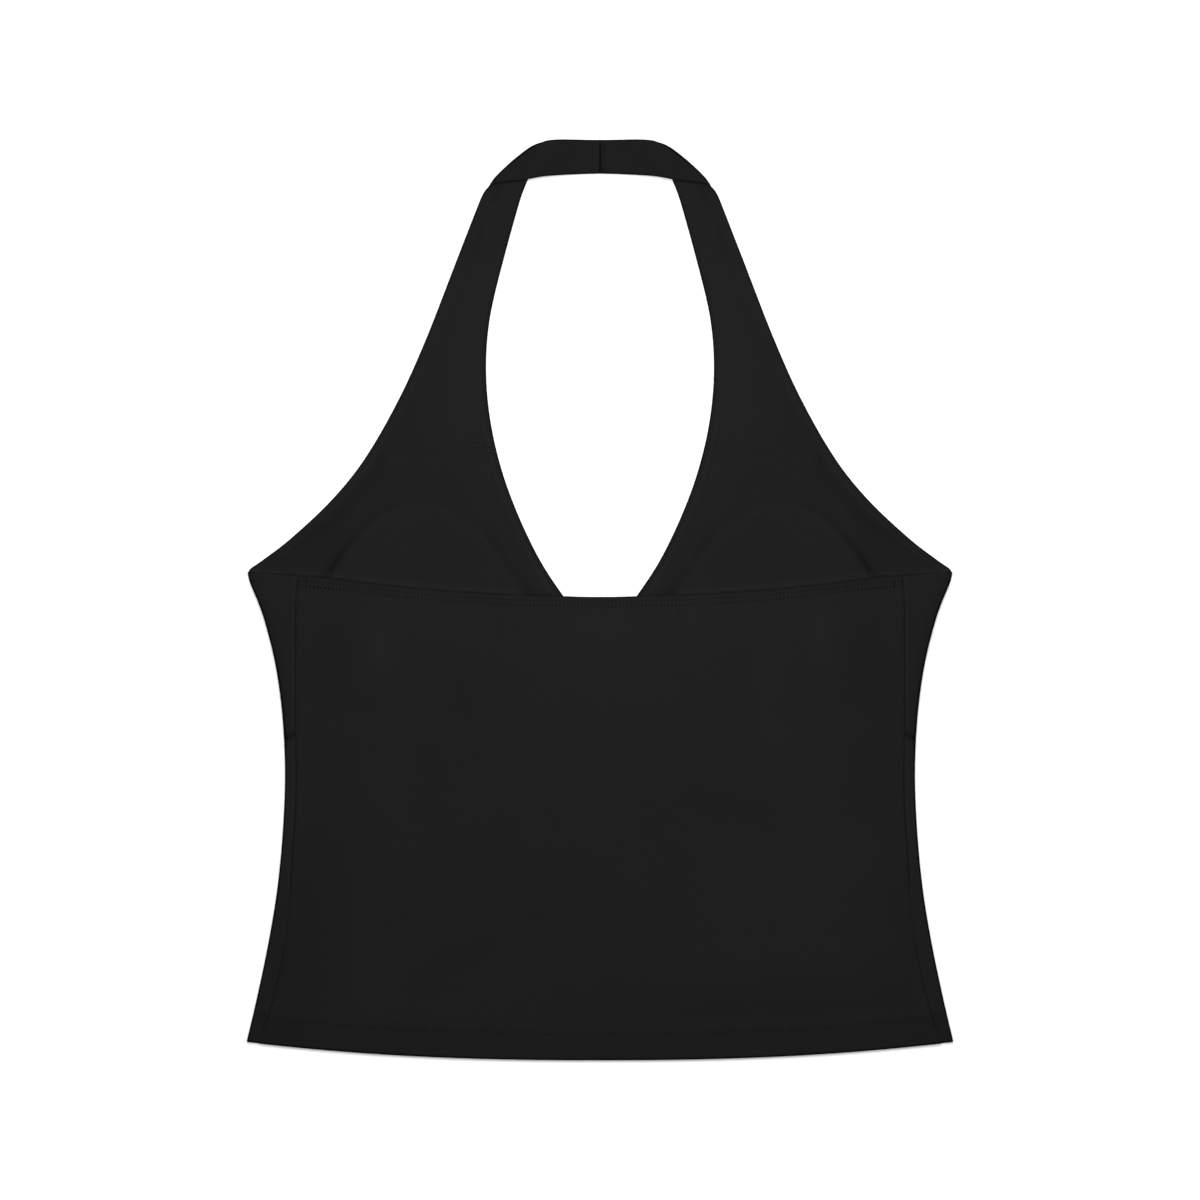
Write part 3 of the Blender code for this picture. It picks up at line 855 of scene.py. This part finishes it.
def painted_shading_of_body(x, y):
    """Painted shade: on the hem, darkest at its rim, and on the sides below the waist, more on the left.
    """
    inside = curve(SIDE_FOLD, y) - abs(x)
    side = LOWER_SIDE_SHADE if x < 0 else LOWER_SIDE_SHADE_RIGHT
    above = y - hem_y(x)
    hem = smooth((hem_row_distance(1, x) + 0.6 - above) / 2)
    low = smooth((58 - inside) / 48) * smooth((-100 - y) / 80) * (1 - 0.4 * hem)
    return side * low + HEM_SHADE * hem + HEM_RIM_SHADE * smooth((1.6 - above) / 1.1)


def painted_shading_of_back(x, y):
    """Painted light and shade on the back, over that of the body: lighter, most in its upper middle and
    at its lower right; darker at its sides, along its top edge and in a band above the hem.
    """
    above = y - hem_y(x)
    clear = smooth((above - HEM_ROWS[1]) / 4)
    middle = bump(x, 0, 75) * smooth((y + 90) / 80)
    lower_right = smooth((x - 30) / 50) * smooth((-105 - y) / 40) * smooth((172 - x) / 34)
    side = smooth((abs(x) - 120) / 32) * (1 - smooth((x - 30) / 50) * smooth((-105 - y) / 40))
    edge = smooth((BACK_EDGE_ROWS[1] + 0.8 - back_edge_distance(x, y)) / 1.2)
    band = bump(above, 27, 15) * smooth((x + 60) / 50) * smooth((185 - x) / 30)
    press = BACK_SIDE_SHADE * side + BACK_EDGE_SHADE * edge + HEM_BAND_SHADE * band
    # Painted light: some all over, more in the upper middle, at the lower right and on the right near
    # the waist.
    light = BACK_PAINTED_LIGHT + BACK_MIDDLE_PAINTED_LIGHT * middle
    light += LOWER_RIGHT_PAINTED_LIGHT * lower_right * smooth((above - 40) / 20)
    light += BACK_RIGHT_PAINTED_LIGHT * bump(x, 110, 30) * bump(y, -78, 38)
    return painted_shading_of_body(x, y) + clear * (press - light)


def painted_shading_of_strap(x, y):
    """Painted shade on the band where it lies over the fold on the strap, along the neck edge and on the
    strip below the underarm; painted light along the arm edge.
    """
    band = smooth((y - 222) / 12)
    neck = smooth((y - 60) / 60) * (1 - band) * bump(abs(x), neck_x(y), 2.2)
    to_fold = curve(SIDE_FOLD, y) - abs(x)
    strip = smooth((UNDERARM - y) / 3) * (0.04 + 0.17 * smooth((8 - to_fold) / 7))
    arm = smooth((90 - y) / 40) * smooth((y - UNDERARM) / 3) * bump(abs(x), arm_x(y), 3.0)
    return BAND_SHADE * band + NECK_EDGE_SHADE * neck + strip - ARM_EDGE_PAINTED_LIGHT * arm


def painted_shading_of_left_strap(x, y):
    """The same, with a painted highlight for the lip beside the nape seam on the left band."""
    return painted_shading_of_strap(x, y) - NAPE_LIP_HIGHLIGHT * smooth((y - 230) / 3) * bump(abs(x), 1.3, 0.9)


def painted_shading_of_right_strap(x, y):
    """The same, with painted shade for the hollow beside the nape seam on the right band."""
    return painted_shading_of_strap(x, y) + NAPE_HOLLOW_SHADE * smooth((y - 230) / 3) * bump(abs(x), 1.5, 1.2)


def painted_shading_of_facing(x, y):
    """Painted light and shade: lighter along the strap than at its fold and at its lower outer corner.
    """
    corner = smooth((abs(x) - 86) / 14) * smooth((122 - y) / 22)
    return FACING_FOLD_SHADE * max(smooth((y - 165) / 45), corner) - FACING_PAINTED_LIGHT


def painted_shading_of_lining(x, y):
    """Painted light and shade: a little lighter towards the neck edge, and darker at the outer side."""
    x = abs(x)
    inner = smooth((115 - x) / 30) * (1 - smooth((y - 20) / 50))
    outer = smooth((x - 115) / 30) + 1.2 * smooth((x - 132) / 16)
    return LINING_SHADE * (inner + outer) - LINING_PAINTED_LIGHT * smooth((88 - x) / 35)


def colour(code):
    """An sRGB hex value as linear red, green, blue and alpha."""
    channels = [int(code[i : i + 2], 16) / 255 for i in (1, 3, 5)]
    linear = [c / 12.92 if c <= 0.04045 else ((c + 0.055) / 1.055) ** 2.4 for c in channels]
    return (*linear, 1.0)


def feed(socket, value):
    """Gives a node's input a value, or the output of another node."""
    if isinstance(value, bpy.types.NodeSocket):
        socket.id_data.links.new(value, socket)
    else:
        socket.default_value = value


def add_node(material, kind, inputs=None, **settings):
    """Adds a node: inputs are values or the outputs that feed it, settings its options."""
    node = material.node_tree.nodes.new(kind)
    for name, value in settings.items():
        setattr(node, name, value)
    for key, value in (inputs or {}).items():
        feed(node.inputs[key], value)
    return node


def new_material(name, roughness, specular):
    material = bpy.data.materials.new(name)
    material.use_nodes = True
    shader = material.node_tree.nodes["Principled BSDF"]
    shader.inputs["Metallic"].default_value = 0
    shader.inputs["IOR"].default_value = 1.5
    shader.inputs["Specular IOR Level"].default_value = specular
    shader.inputs["Roughness"].default_value = roughness
    return material, shader


# A knit loop of this jersey is 0.45 by 0.35 mm, finer than the render shows. It is drawn three
# times as coarse, so that the wales are still seen.
WALE = 1.35
COURSE = 1.05
FUZZ = 0.9
FLECK = 1.7
DYE_PATCH = 38
KNIT_HEIGHT = 0.04
# The near-black that painted shade takes the cloth's colour towards.
PAINTED_SHADE_BLACK = "#010101"


def knitted(name, dark, light):
    """Single jersey of black cotton and elastane: wales of small loops, with painted shade taking it
    towards black and painted highlight lightening it.
    """
    material, shader = new_material(name, 0.86, 0.03)

    def node(kind, output, inputs=None, **settings):
        return add_node(material, kind, inputs, **settings).outputs[output]

    def maths(operation, *values):
        return node("ShaderNodeMath", "Value", dict(enumerate(values)), operation=operation)

    def noise(size, detail):
        inputs = {"Scale": 1 / (size * MM), "Detail": detail, "Roughness": 0.55, "Vector": grain}
        return node("ShaderNodeTexNoise", "Fac", inputs)

    def blend(share, low, high):
        inputs = {"Factor": share, 6: low, 7: high}
        return node("ShaderNodeMix", 2, inputs, data_type="RGBA", clamp_factor=False)

    grain = node("ShaderNodeAttribute", "Vector", attribute_name="grain")
    # How much painted shade darkens this point, or painted highlight lightens it where negative.
    folds = node("ShaderNodeAttribute", "Fac", attribute_name="pressed")
    place = add_node(material, "ShaderNodeSeparateXYZ", {"Vector": grain}).outputs
    # Each wale is a ridge, and its loops slant up to its middle from both sides.
    half = maths("PINGPONG", maths("MULTIPLY", place["X"], 1 / WALE / MM), 0.5)
    up = maths("MULTIPLY_ADD", place["Y"], 1 / COURSE / MM, half)
    ridge = maths("SINE", maths("MULTIPLY", half, 2 * math.pi))
    loop = maths("SINE", maths("MULTIPLY", up, 2 * math.pi))
    knit = maths("MULTIPLY_ADD", loop, 0.35, ridge)
    height = maths("MULTIPLY_ADD", noise(FUZZ, 2.0), 0.8, knit)
    relief = {"Strength": 1.0, "Distance": KNIT_HEIGHT * MM, "Height": height}
    # Uneven dye and nap: patches of a few centimetres, and flecks of a millimetre or two.
    patches = maths("MULTIPLY", noise(DYE_PATCH, 2.0), 0.2)
    shade = maths("MULTIPLY_ADD", noise(FLECK, 3.0), 0.5, patches)
    shade = maths("MULTIPLY_ADD", knit, 0.04, shade)
    dyed = blend(shade, colour(dark), colour(light))
    # Painted shade and highlight: the dye is mixed towards near-black, or away from it.
    feed(shader.inputs["Base Color"], blend(folds, dyed, colour(PAINTED_SHADE_BLACK)))
    feed(shader.inputs["Normal"], node("ShaderNodeBump", "Normal", relief))
    return material


NOISE = ("ShaderNodeTexNoise", "Fac")
CELLS = ("ShaderNodeTexVoronoi", "Distance")


def flecked(name, roughness, specular, texture, size, dark, light, **values):
    """A matt material with specks of two colours, of a size in millimetres."""
    material, shader = new_material(name, roughness, specular)
    place = add_node(material, "ShaderNodeTexCoord").outputs["Object"]
    kind, output = texture
    values |= {"Scale": 1 / (size * MM), "Vector": place}
    specks = add_node(material, kind, values).outputs[output]
    tint = {"Factor": specks, 6: colour(dark), 7: colour(light)}
    tinted = add_node(material, "ShaderNodeMix", tint, data_type="RGBA").outputs[2]
    feed(shader.inputs["Base Color"], tinted)
    return material, shader, specks


def foam_material():
    """Moulded polyurethane foam, dyed black: an open skin of fine cells, dead matt."""
    name = "moulded_black_foam"
    material, shader, cells = flecked(name, 0.95, 0.1, CELLS, 0.8, "#1a1a1b", "#242425")
    relief = {"Strength": 0.6, "Distance": 0.1 * MM, "Height": cells}
    feed(shader.inputs["Normal"], add_node(material, "ShaderNodeBump", relief).outputs["Normal"])
    return material


def thread_material():
    """Spun polyester sewing thread, black, with a faint gloss along its twist."""
    name = "black_polyester_thread"
    return flecked(name, 0.7, 0.08, NOISE, 0.35, "#161616", "#1e1e1e", Detail=1.0)[0]


def hole_shade_material():
    """Painted shade at the needle holes between the stitches: dark discs for the shadow in the pit where
    the cloth is pulled in.
    """
    return flecked("needle_hole_shade", 1.0, 0.0, NOISE, 4, "#020202", "#070707")[0]


def add_object(name, data):
    made = bpy.data.objects.new(name, data)
    bpy.context.scene.collection.objects.link(made)
    return made


def finish(name, bm, material, left=False):
    """The bmesh, drawn in millimetres, as a smooth object at the origin in metres."""
    grain = bm.verts.layers.float_vector.get("grain")
    if grain:
        for vert in bm.verts:
            vert[grain] = vert[grain] * MM
    side = -1 if left else 1
    bmesh.ops.scale(bm, vec=(side * MM, MM, MM), verts=bm.verts)
    if left:
        bmesh.ops.reverse_faces(bm, faces=bm.faces)
    mesh = bpy.data.meshes.new(name)
    bm.to_mesh(mesh)
    bm.free()
    mesh.shade_smooth()
    mesh.materials.append(material)
    piece = add_object(name, mesh)
    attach(piece, "root")
    return piece


def walled(piece):
    wall = piece.modifiers.new("jersey wall", "SOLIDIFY")
    wall.thickness = JERSEY_WALL * MM
    wall.offset = 0
    return piece


def make_front_upper(suffix, left, material):
    bm, lines = sheet_of(front_upper_rows())
    bust = len(BUST_LEVELS)
    v_row = BUST_LEVELS.index(-25)
    sizes = [max(0.12, smooth((y - V_POINT) / 3)) for y in BUST_LEVELS[v_row:]]
    sizes += [1.0] * len(CHEST_LEVELS)
    neck = [line[0] for line in lines[v_row:]]
    top_of_strip = lines[bust - 1][FRONT_COLUMNS:]
    arm = list(reversed(top_of_strip)) + [line[-1] for line in lines[bust:]]
    arm_sizes = [STRIP_ROLL] * len(top_of_strip) + [arm_roll(y) for y in CHEST_LEVELS]
    strap_sizes = [mix(1.0, FOLD_ROLL, near) for part in near_fold() for near in part]
    side_seam = [line[-1] for line in lines[:bust]]
    follow(bm, neck, -1, rolled_edge(), sizes + strap_sizes)
    follow(bm, arm, 1, rolled_edge(), arm_sizes + strap_sizes)
    follow(bm, side_seam, 1, SEAM_DIP)
    follow(bm, lines[-1], -1, NAPE_DIP)
    follow(bm, lines[0], 1, SEAM_DIP)
    # Painted shade at the rims, and the strap's painted light and shade.
    paint_shading(bm, rim_painted_shade, painted_shading_of_left_strap if left else painted_shading_of_right_strap)
    return walled(finish(f"front_upper_{suffix}_cloth", bm, material, left))


def make_front_lower(material):
    bm, lines = sheet_of(front_lower_rows())
    turn_up(bm, lines[: TURN_UP_ROWS + 1], 1)
    bm.normal_update()
    follow(bm, [line[-1] for line in lines], 1, SEAM_DIP)
    follow(bm, [line[0] for line in lines], -1, SEAM_DIP)
    follow(bm, lines[-1], -1, SEAM_DIP)
    # Painted shade at the rims, on the hem and on the lower sides.
    paint_shading(bm, rim_painted_shade, painted_shading_of_body)
    return walled(finish("front_lower_cloth", bm, material))


def make_back(material):
    bm, lines = sheet_of(back_rows())
    turn_up(bm, lines[: TURN_UP_ROWS + 1], -1)
    turn_up(bm, lines[::-1][:BACK_TURN_UP_ROWS], -1)
    # Painted shade at the rims, and the back's painted light and shade.
    paint_shading(bm, rim_painted_shade, painted_shading_of_back)
    return walled(finish("back_cloth", bm, material))


def make_inner(name, rows, material, press, left):
    """A cup lining or a strap facing: one sheet, with its edges under the outer cloth's tails."""
    bm, _ = sheet_of(rows)
    # Painted shade at its steep edges, and the painted light and shade of its place.
    paint_shading(bm, lining_rim_painted_shade, press)
    return walled(finish(f"{name}_cloth", bm, material, left))


# Rings of a pad, each a share of its outline's radius and a share of its height.
PAD_RINGS = (
    (0.3, 0), (0.6, 0), (0.84, 0), (0.89, 0.03), (0.925, 0.14), (0.935, 0.32), (0.92, 0.56),
    (0.89, 0.76), (0.84, 0.88), (0.76, 0.95), (0.64, 0.97), (0.5, 0.98), (0.36, 0.98),
    (0.22, 0.98), (0.1, 0.98),
)


def make_pad(suffix, left, material):
    """A moulded foam cup: rings of its outline from the flat underside round to the crown."""
    bm = bmesh.new()
    points = 96
    ring = bmesh.ops.create_circle(bm, segments=points, radius=1)["verts"]

    def places(size, rise):
        found = []
        for i in range(points):
            turn = 360 * i / points
            radius = size * curve(PAD_OUTLINE, turn)
            x = PAD_MIDDLE[0] + radius * math.cos(math.radians(turn))
            y = PAD_MIDDLE[1] + radius * math.sin(math.radians(turn))
            height = max(0.6, pad_under_lining(x, y) - 0.3)
            found.append((x, y, PAD_UNDERSIDE + rise * height))
        return found

    for vert, place in zip(ring, places(*PAD_RINGS[0])):
        vert.co = place
    first = list(ring)
    for size, rise in PAD_RINGS[1:]:
        target = places(size, rise)
        closed = ring + ring[:1]
        ring = extend(bm, closed, target + target[:1])[:points]
    bmesh.ops.contextual_create(bm, geom=first)
    bmesh.ops.contextual_create(bm, geom=ring)
    bmesh.ops.recalc_face_normals(bm, faces=bm.faces)
    return finish(f"cup_pad_{suffix}_foam", bm, material, left)


STITCH_BATCH = 24
STITCH_SIZE = (0.9, 0.34, 0.16)
HOLE_SIDES = 7
# How far the needle holes' discs of painted shade, those of the locks and the thread stand above the
# cloth, in mm.
PIT_LIFT = 0.025
LOCK_LIFT = 0.03
THREAD_LIFT = 0.02
# Stitch lengths, in mm.
COVER_PITCH = 2.05
SEAM_PITCH = 1.85
UNDERSTITCH_PITCH = 1.95
NAPE_PITCH = 1.3
HEM_PIECES = ("back", "front_lower")
# The nape seam is held down on one side, by a short ragged row.
NAPE_ROW = [(0.6, 235.4), (0.9, 238), (0.5, 241), (1.2, 243), (0.6, 246), (1, 249), (0.6, 252)]


def spaced_along(points, pitch, start=0.0):
    """Places at an even pitch along a line of (x, y) points, each with its direction."""
    found, due = [], start
    for before, after in zip(points, points[1:]):
        before, after = Vector(before), Vector(after)
        length = (after - before).length
        while due <= length:
            found.append((before.lerp(after, due / length), (after - before).normalized()))
            due += pitch
        due -= length
    return found


def top_of(cloths):
    """A function that finds the highest cloth at a place seen from above, its height and slope."""
    depsgraph = bpy.context.evaluated_depsgraph_get()
    trees = {piece.name: BVHTree.FromObject(piece, depsgraph) for piece in cloths}

    def look(x, y):
        best = (None, None, None)
        for name, tree in trees.items():
            hit, normal, _, _ = tree.ray_cast(Vector((x * MM, y * MM, 0.05)), Vector((0, 0, -1)))
            if hit is not None and (best[0] is None or hit.z > best[0].z):
                best = (hit, normal, name)
        return best

    return look


def gather(target, batch):
    """Moves a small bmesh into a larger one, which keeps each operator quick."""
    passing = bpy.data.meshes.new("batch")
    batch.to_mesh(passing)
    batch.clear()
    target.from_mesh(passing)
    bpy.data.meshes.remove(passing)


def punch(holes, radius, matrix):
    bmesh.ops.create_circle(holes, cap_ends=True, segments=HOLE_SIDES, radius=radius, matrix=matrix)


def sew(rows, look, all_holes, all_threads, hole):
    """Adds stitches to two meshes: a disc of painted shade at each needle hole and a bar of thread
    between two.
    """
    holes, threads = bmesh.new(), bmesh.new()
    for points, pitch, on in rows:
        for k, (place, ahead) in enumerate(spaced_along(points, pitch)):
            if k % STITCH_BATCH == 0:
                gather(all_holes, holes)
                gather(all_threads, threads)
            hit, normal, name = look(place.x, place.y)
            if name is None or not any(name.startswith(piece) for piece in on):
                continue
            up = normal if normal.z > 0 else -normal
            across = up.cross(Vector((ahead.x, ahead.y, 0))).normalized()
            turn = Matrix((across.cross(up), across, up)).transposed()
            at = hit / MM
            punch(holes, hole, Matrix.Translation(at + up * PIT_LIFT) @ turn.to_4x4())
            middle = look(place.x + ahead.x * pitch / 2, place.y + ahead.y * pitch / 2)
            if middle[2] != name:
                continue
            size = Matrix.Diagonal([side / 2 for side in STITCH_SIZE] + [1])
            spot = Matrix.Translation(middle[0] / MM + up * THREAD_LIFT) @ turn.to_4x4() @ size
            bmesh.ops.create_uvsphere(threads, u_segments=6, v_segments=4, radius=1, matrix=spot)
    gather(all_holes, holes)
    gather(all_threads, threads)


def bartack(x, low, high, radius, look, holes):
    """A short column of close needle holes, each a disc of painted shade, where the ends of the rows are
    locked.
    """
    count = max(1, round((high - low) / (2.6 * radius)))
    for k in range(count + 1):
        hit, normal, name = look(x, mix(low, high, k / count))
        if name is not None:
            punch(holes, radius, Matrix.Translation(hit / MM + normal * LOCK_LIFT))


def both_sides(rows):
    """Rows of stitching of the right half, with those of the left half."""
    return rows + [([(-x, y) for x, y in points], pitch, on) for points, pitch, on in rows]


def edge_line(edge, inset, low, high, inward):
    """Points at an inset from a side edge given as (y, x) rows, between two heights."""
    points = []
    count = int((high - low) / 2)
    for k in range(count + 1):
        y = mix(low, high, k / count)
        slope = curve(edge, y + 0.5) - curve(edge, y - 0.5)
        size = inward * inset / math.hypot(1, slope)
        points.append((curve(edge, y) + size, y - size * slope))
    return points


def row_across(low, high, count, y_at):
    """Points along a row of stitching that runs across."""
    return [(x, y_at(x)) for x in (mix(low, high, k / count) for k in range(count + 1))]


def stitching(cloths, thread, pit):
    look = top_of(cloths)
    back, linings = ("back",), ("cup_lining", "strap_facing")

    def below_top(at):
        return lambda x: curve(BACK_TOP, abs(x)) - at

    def above_hem(row, more=0.0):
        return lambda x: hem_y(x) + hem_row_distance(row, x) + more

    def above_seam(at):
        return lambda x: curve(LINING_TOP, x) + at

    edge = [(row_across(-165, 165, 80, below_top(at)), COVER_PITCH, back) for at in BACK_EDGE_ROWS]
    # The lower row is pulled tight where it starts.
    edge_ends = [(row_across(147, 160.5, 8, below_top(BACK_EDGE_ROWS[1])), COVER_PITCH, back)]
    hem = [(row_across(-192, 192, 90, above_hem(row)), COVER_PITCH, HEM_PIECES) for row in (0, 1)]
    # The hem's rows overlap where they start and end.
    hem += [(row_across(-28.6, -23.4, 2, above_hem(row, 0.35)), COVER_PITCH, back) for row in (0, 1)]
    seam = [(row_across(61, 125.3, 30, above_seam(at)), SEAM_PITCH, linings) for at in LINING_ROWS]
    neck = edge_line(NECKLINE, UNDERSTITCH_CUP, -5, 84, 1)
    neck += edge_line(NECKLINE, UNDERSTITCH_STRAP, 86, 226, 1)
    armhole = edge_line(ARMHOLE, ARMHOLE_ROW, 22.5, 76, -1)
    # Each group has its name, the radius of its needle holes and its rows.
    groups = (
        ("back_edge", 0.3, edge),
        ("back_edge_ends", 0.46, both_sides(edge_ends)),
        ("hem", 0.3, hem),
        ("lining_seam", 0.22, both_sides(seam)),
        ("neck", 0.12, both_sides([(neck, UNDERSTITCH_PITCH, linings)])),
        ("armhole", 0.2, both_sides([(armhole, UNDERSTITCH_PITCH, linings)])),
        ("nape", 0.15, [(NAPE_ROW, NAPE_PITCH, ("front_upper",))]),
    )
    for name, hole, rows in groups:
        holes, threads = bmesh.new(), bmesh.new()
        sew(rows, look, holes, threads, hole)
        if name == "back_edge":
            for side in (1, -1):
                bartack(side * 161.5, 6.7, 10.8, 0.36, look, holes)
                bartack(side * 165.9, 7.3, 10.5, 0.42, look, holes)
        # Dark discs of painted shade at the needle holes.
        finish(f"{name}_needle_holes", holes, pit)
        finish(f"{name}_stitches", threads, thread)


def declare(pieces):
    """Goes through the cut pieces and passes over the pads; nothing else is done with them."""
    for name, piece in pieces.items():
        base = name.replace("_left", "").replace("_right", "")
        if base == "cup_pad":
            continue


# Soft boxes: name, place, what they point at, side in metres, watts.
LAMPS = (
    ("overhead_softbox", (0, 0.4, 0.95), (0, 0.2, 0), 0.8, 12.5),
    ("fill_softbox", (0, -1.6, 1.6), (0, 0, 0), 1.6, 3),
)
FLOOR_HALF_SIDE = 6
AIR_LIGHT = 0.72


def floor_and_light():
    mesh = bpy.data.meshes.new("studio_floor")
    bm = bmesh.new()
    bmesh.ops.create_grid(bm, x_segments=1, y_segments=1, size=FLOOR_HALF_SIDE)
    bm.to_mesh(mesh)
    bm.free()
    floor = add_object("studio_floor", mesh)
    material, shader = new_material("white_painted_floor", 0.9, 0.1)
    shader.inputs["Base Color"].default_value = (0.86, 0.86, 0.86, 1)
    mesh.materials.append(material)
    for name, place, aim, size, power in LAMPS:
        lamp = bpy.data.lights.new(name, "AREA")
        lamp.shape = "SQUARE"
        lamp.size = size
        lamp.energy = power
        lamp_object = add_object(name, lamp)
        lamp_object.location = place
        direction = Vector(aim) - Vector(place)
        lamp_object.rotation_euler = direction.to_track_quat("-Z", "Y").to_euler()
        lamp_object.visible_camera = False
    world = bpy.data.worlds.new("studio_air")
    world.use_nodes = True
    air = world.node_tree.nodes["Background"]
    air.inputs["Color"].default_value = (1, 1, 1, 1)
    air.inputs["Strength"].default_value = AIR_LIGHT
    bpy.context.scene.world = world


CAMERA_HEIGHT = 3.2
FRAME_WIDTH = 0.66
SENSOR_WIDTH = 36


def overhead_camera():
    """Straight above, with a long lens."""
    camera = bpy.data.cameras.new("overhead_camera")
    camera.sensor_width = SENSOR_WIDTH
    camera.lens = SENSOR_WIDTH * CAMERA_HEIGHT / FRAME_WIDTH
    camera_object = add_object("overhead_camera", camera)
    camera_object.location = (0, 0, CAMERA_HEIGHT)
    bpy.context.scene.camera = camera_object


def main():
    bpy.context.scene.view_settings.view_transform = "Standard"
    jersey = knitted("black_cotton_jersey", "#131313", "#191919")
    lining = knitted("black_lining_jersey", "#131313", "#181818")
    foam, thread, pit = foam_material(), thread_material(), hole_shade_material()
    pieces = {"front_lower": make_front_lower(jersey), "back": make_back(jersey)}
    # Each inner piece, with the painted light and shade of its place.
    inner = (
        ("strap_facing", facing_rows, jersey, "jersey", painted_shading_of_facing),
        ("cup_lining", lining_rows, lining, "lining_jersey", painted_shading_of_lining),
    )
    for suffix, left in (("right", False), ("left", True)):
        pieces[f"front_upper_{suffix}"] = make_front_upper(suffix, left, jersey)
        for kind, rows, material, slot, press in inner:
            name = f"{kind}_{suffix}"
            pieces[name] = make_inner(name, rows(), material, press, left)
        pieces[f"cup_pad_{suffix}"] = make_pad(suffix, left, foam)
    for node, piece in pieces.items():
        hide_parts(node)
    bpy.context.view_layer.update()
    stitching([piece for name, piece in pieces.items() if "pad" not in name], thread, pit)
    declare(pieces)
    floor_and_light()
    overhead_camera()


main()
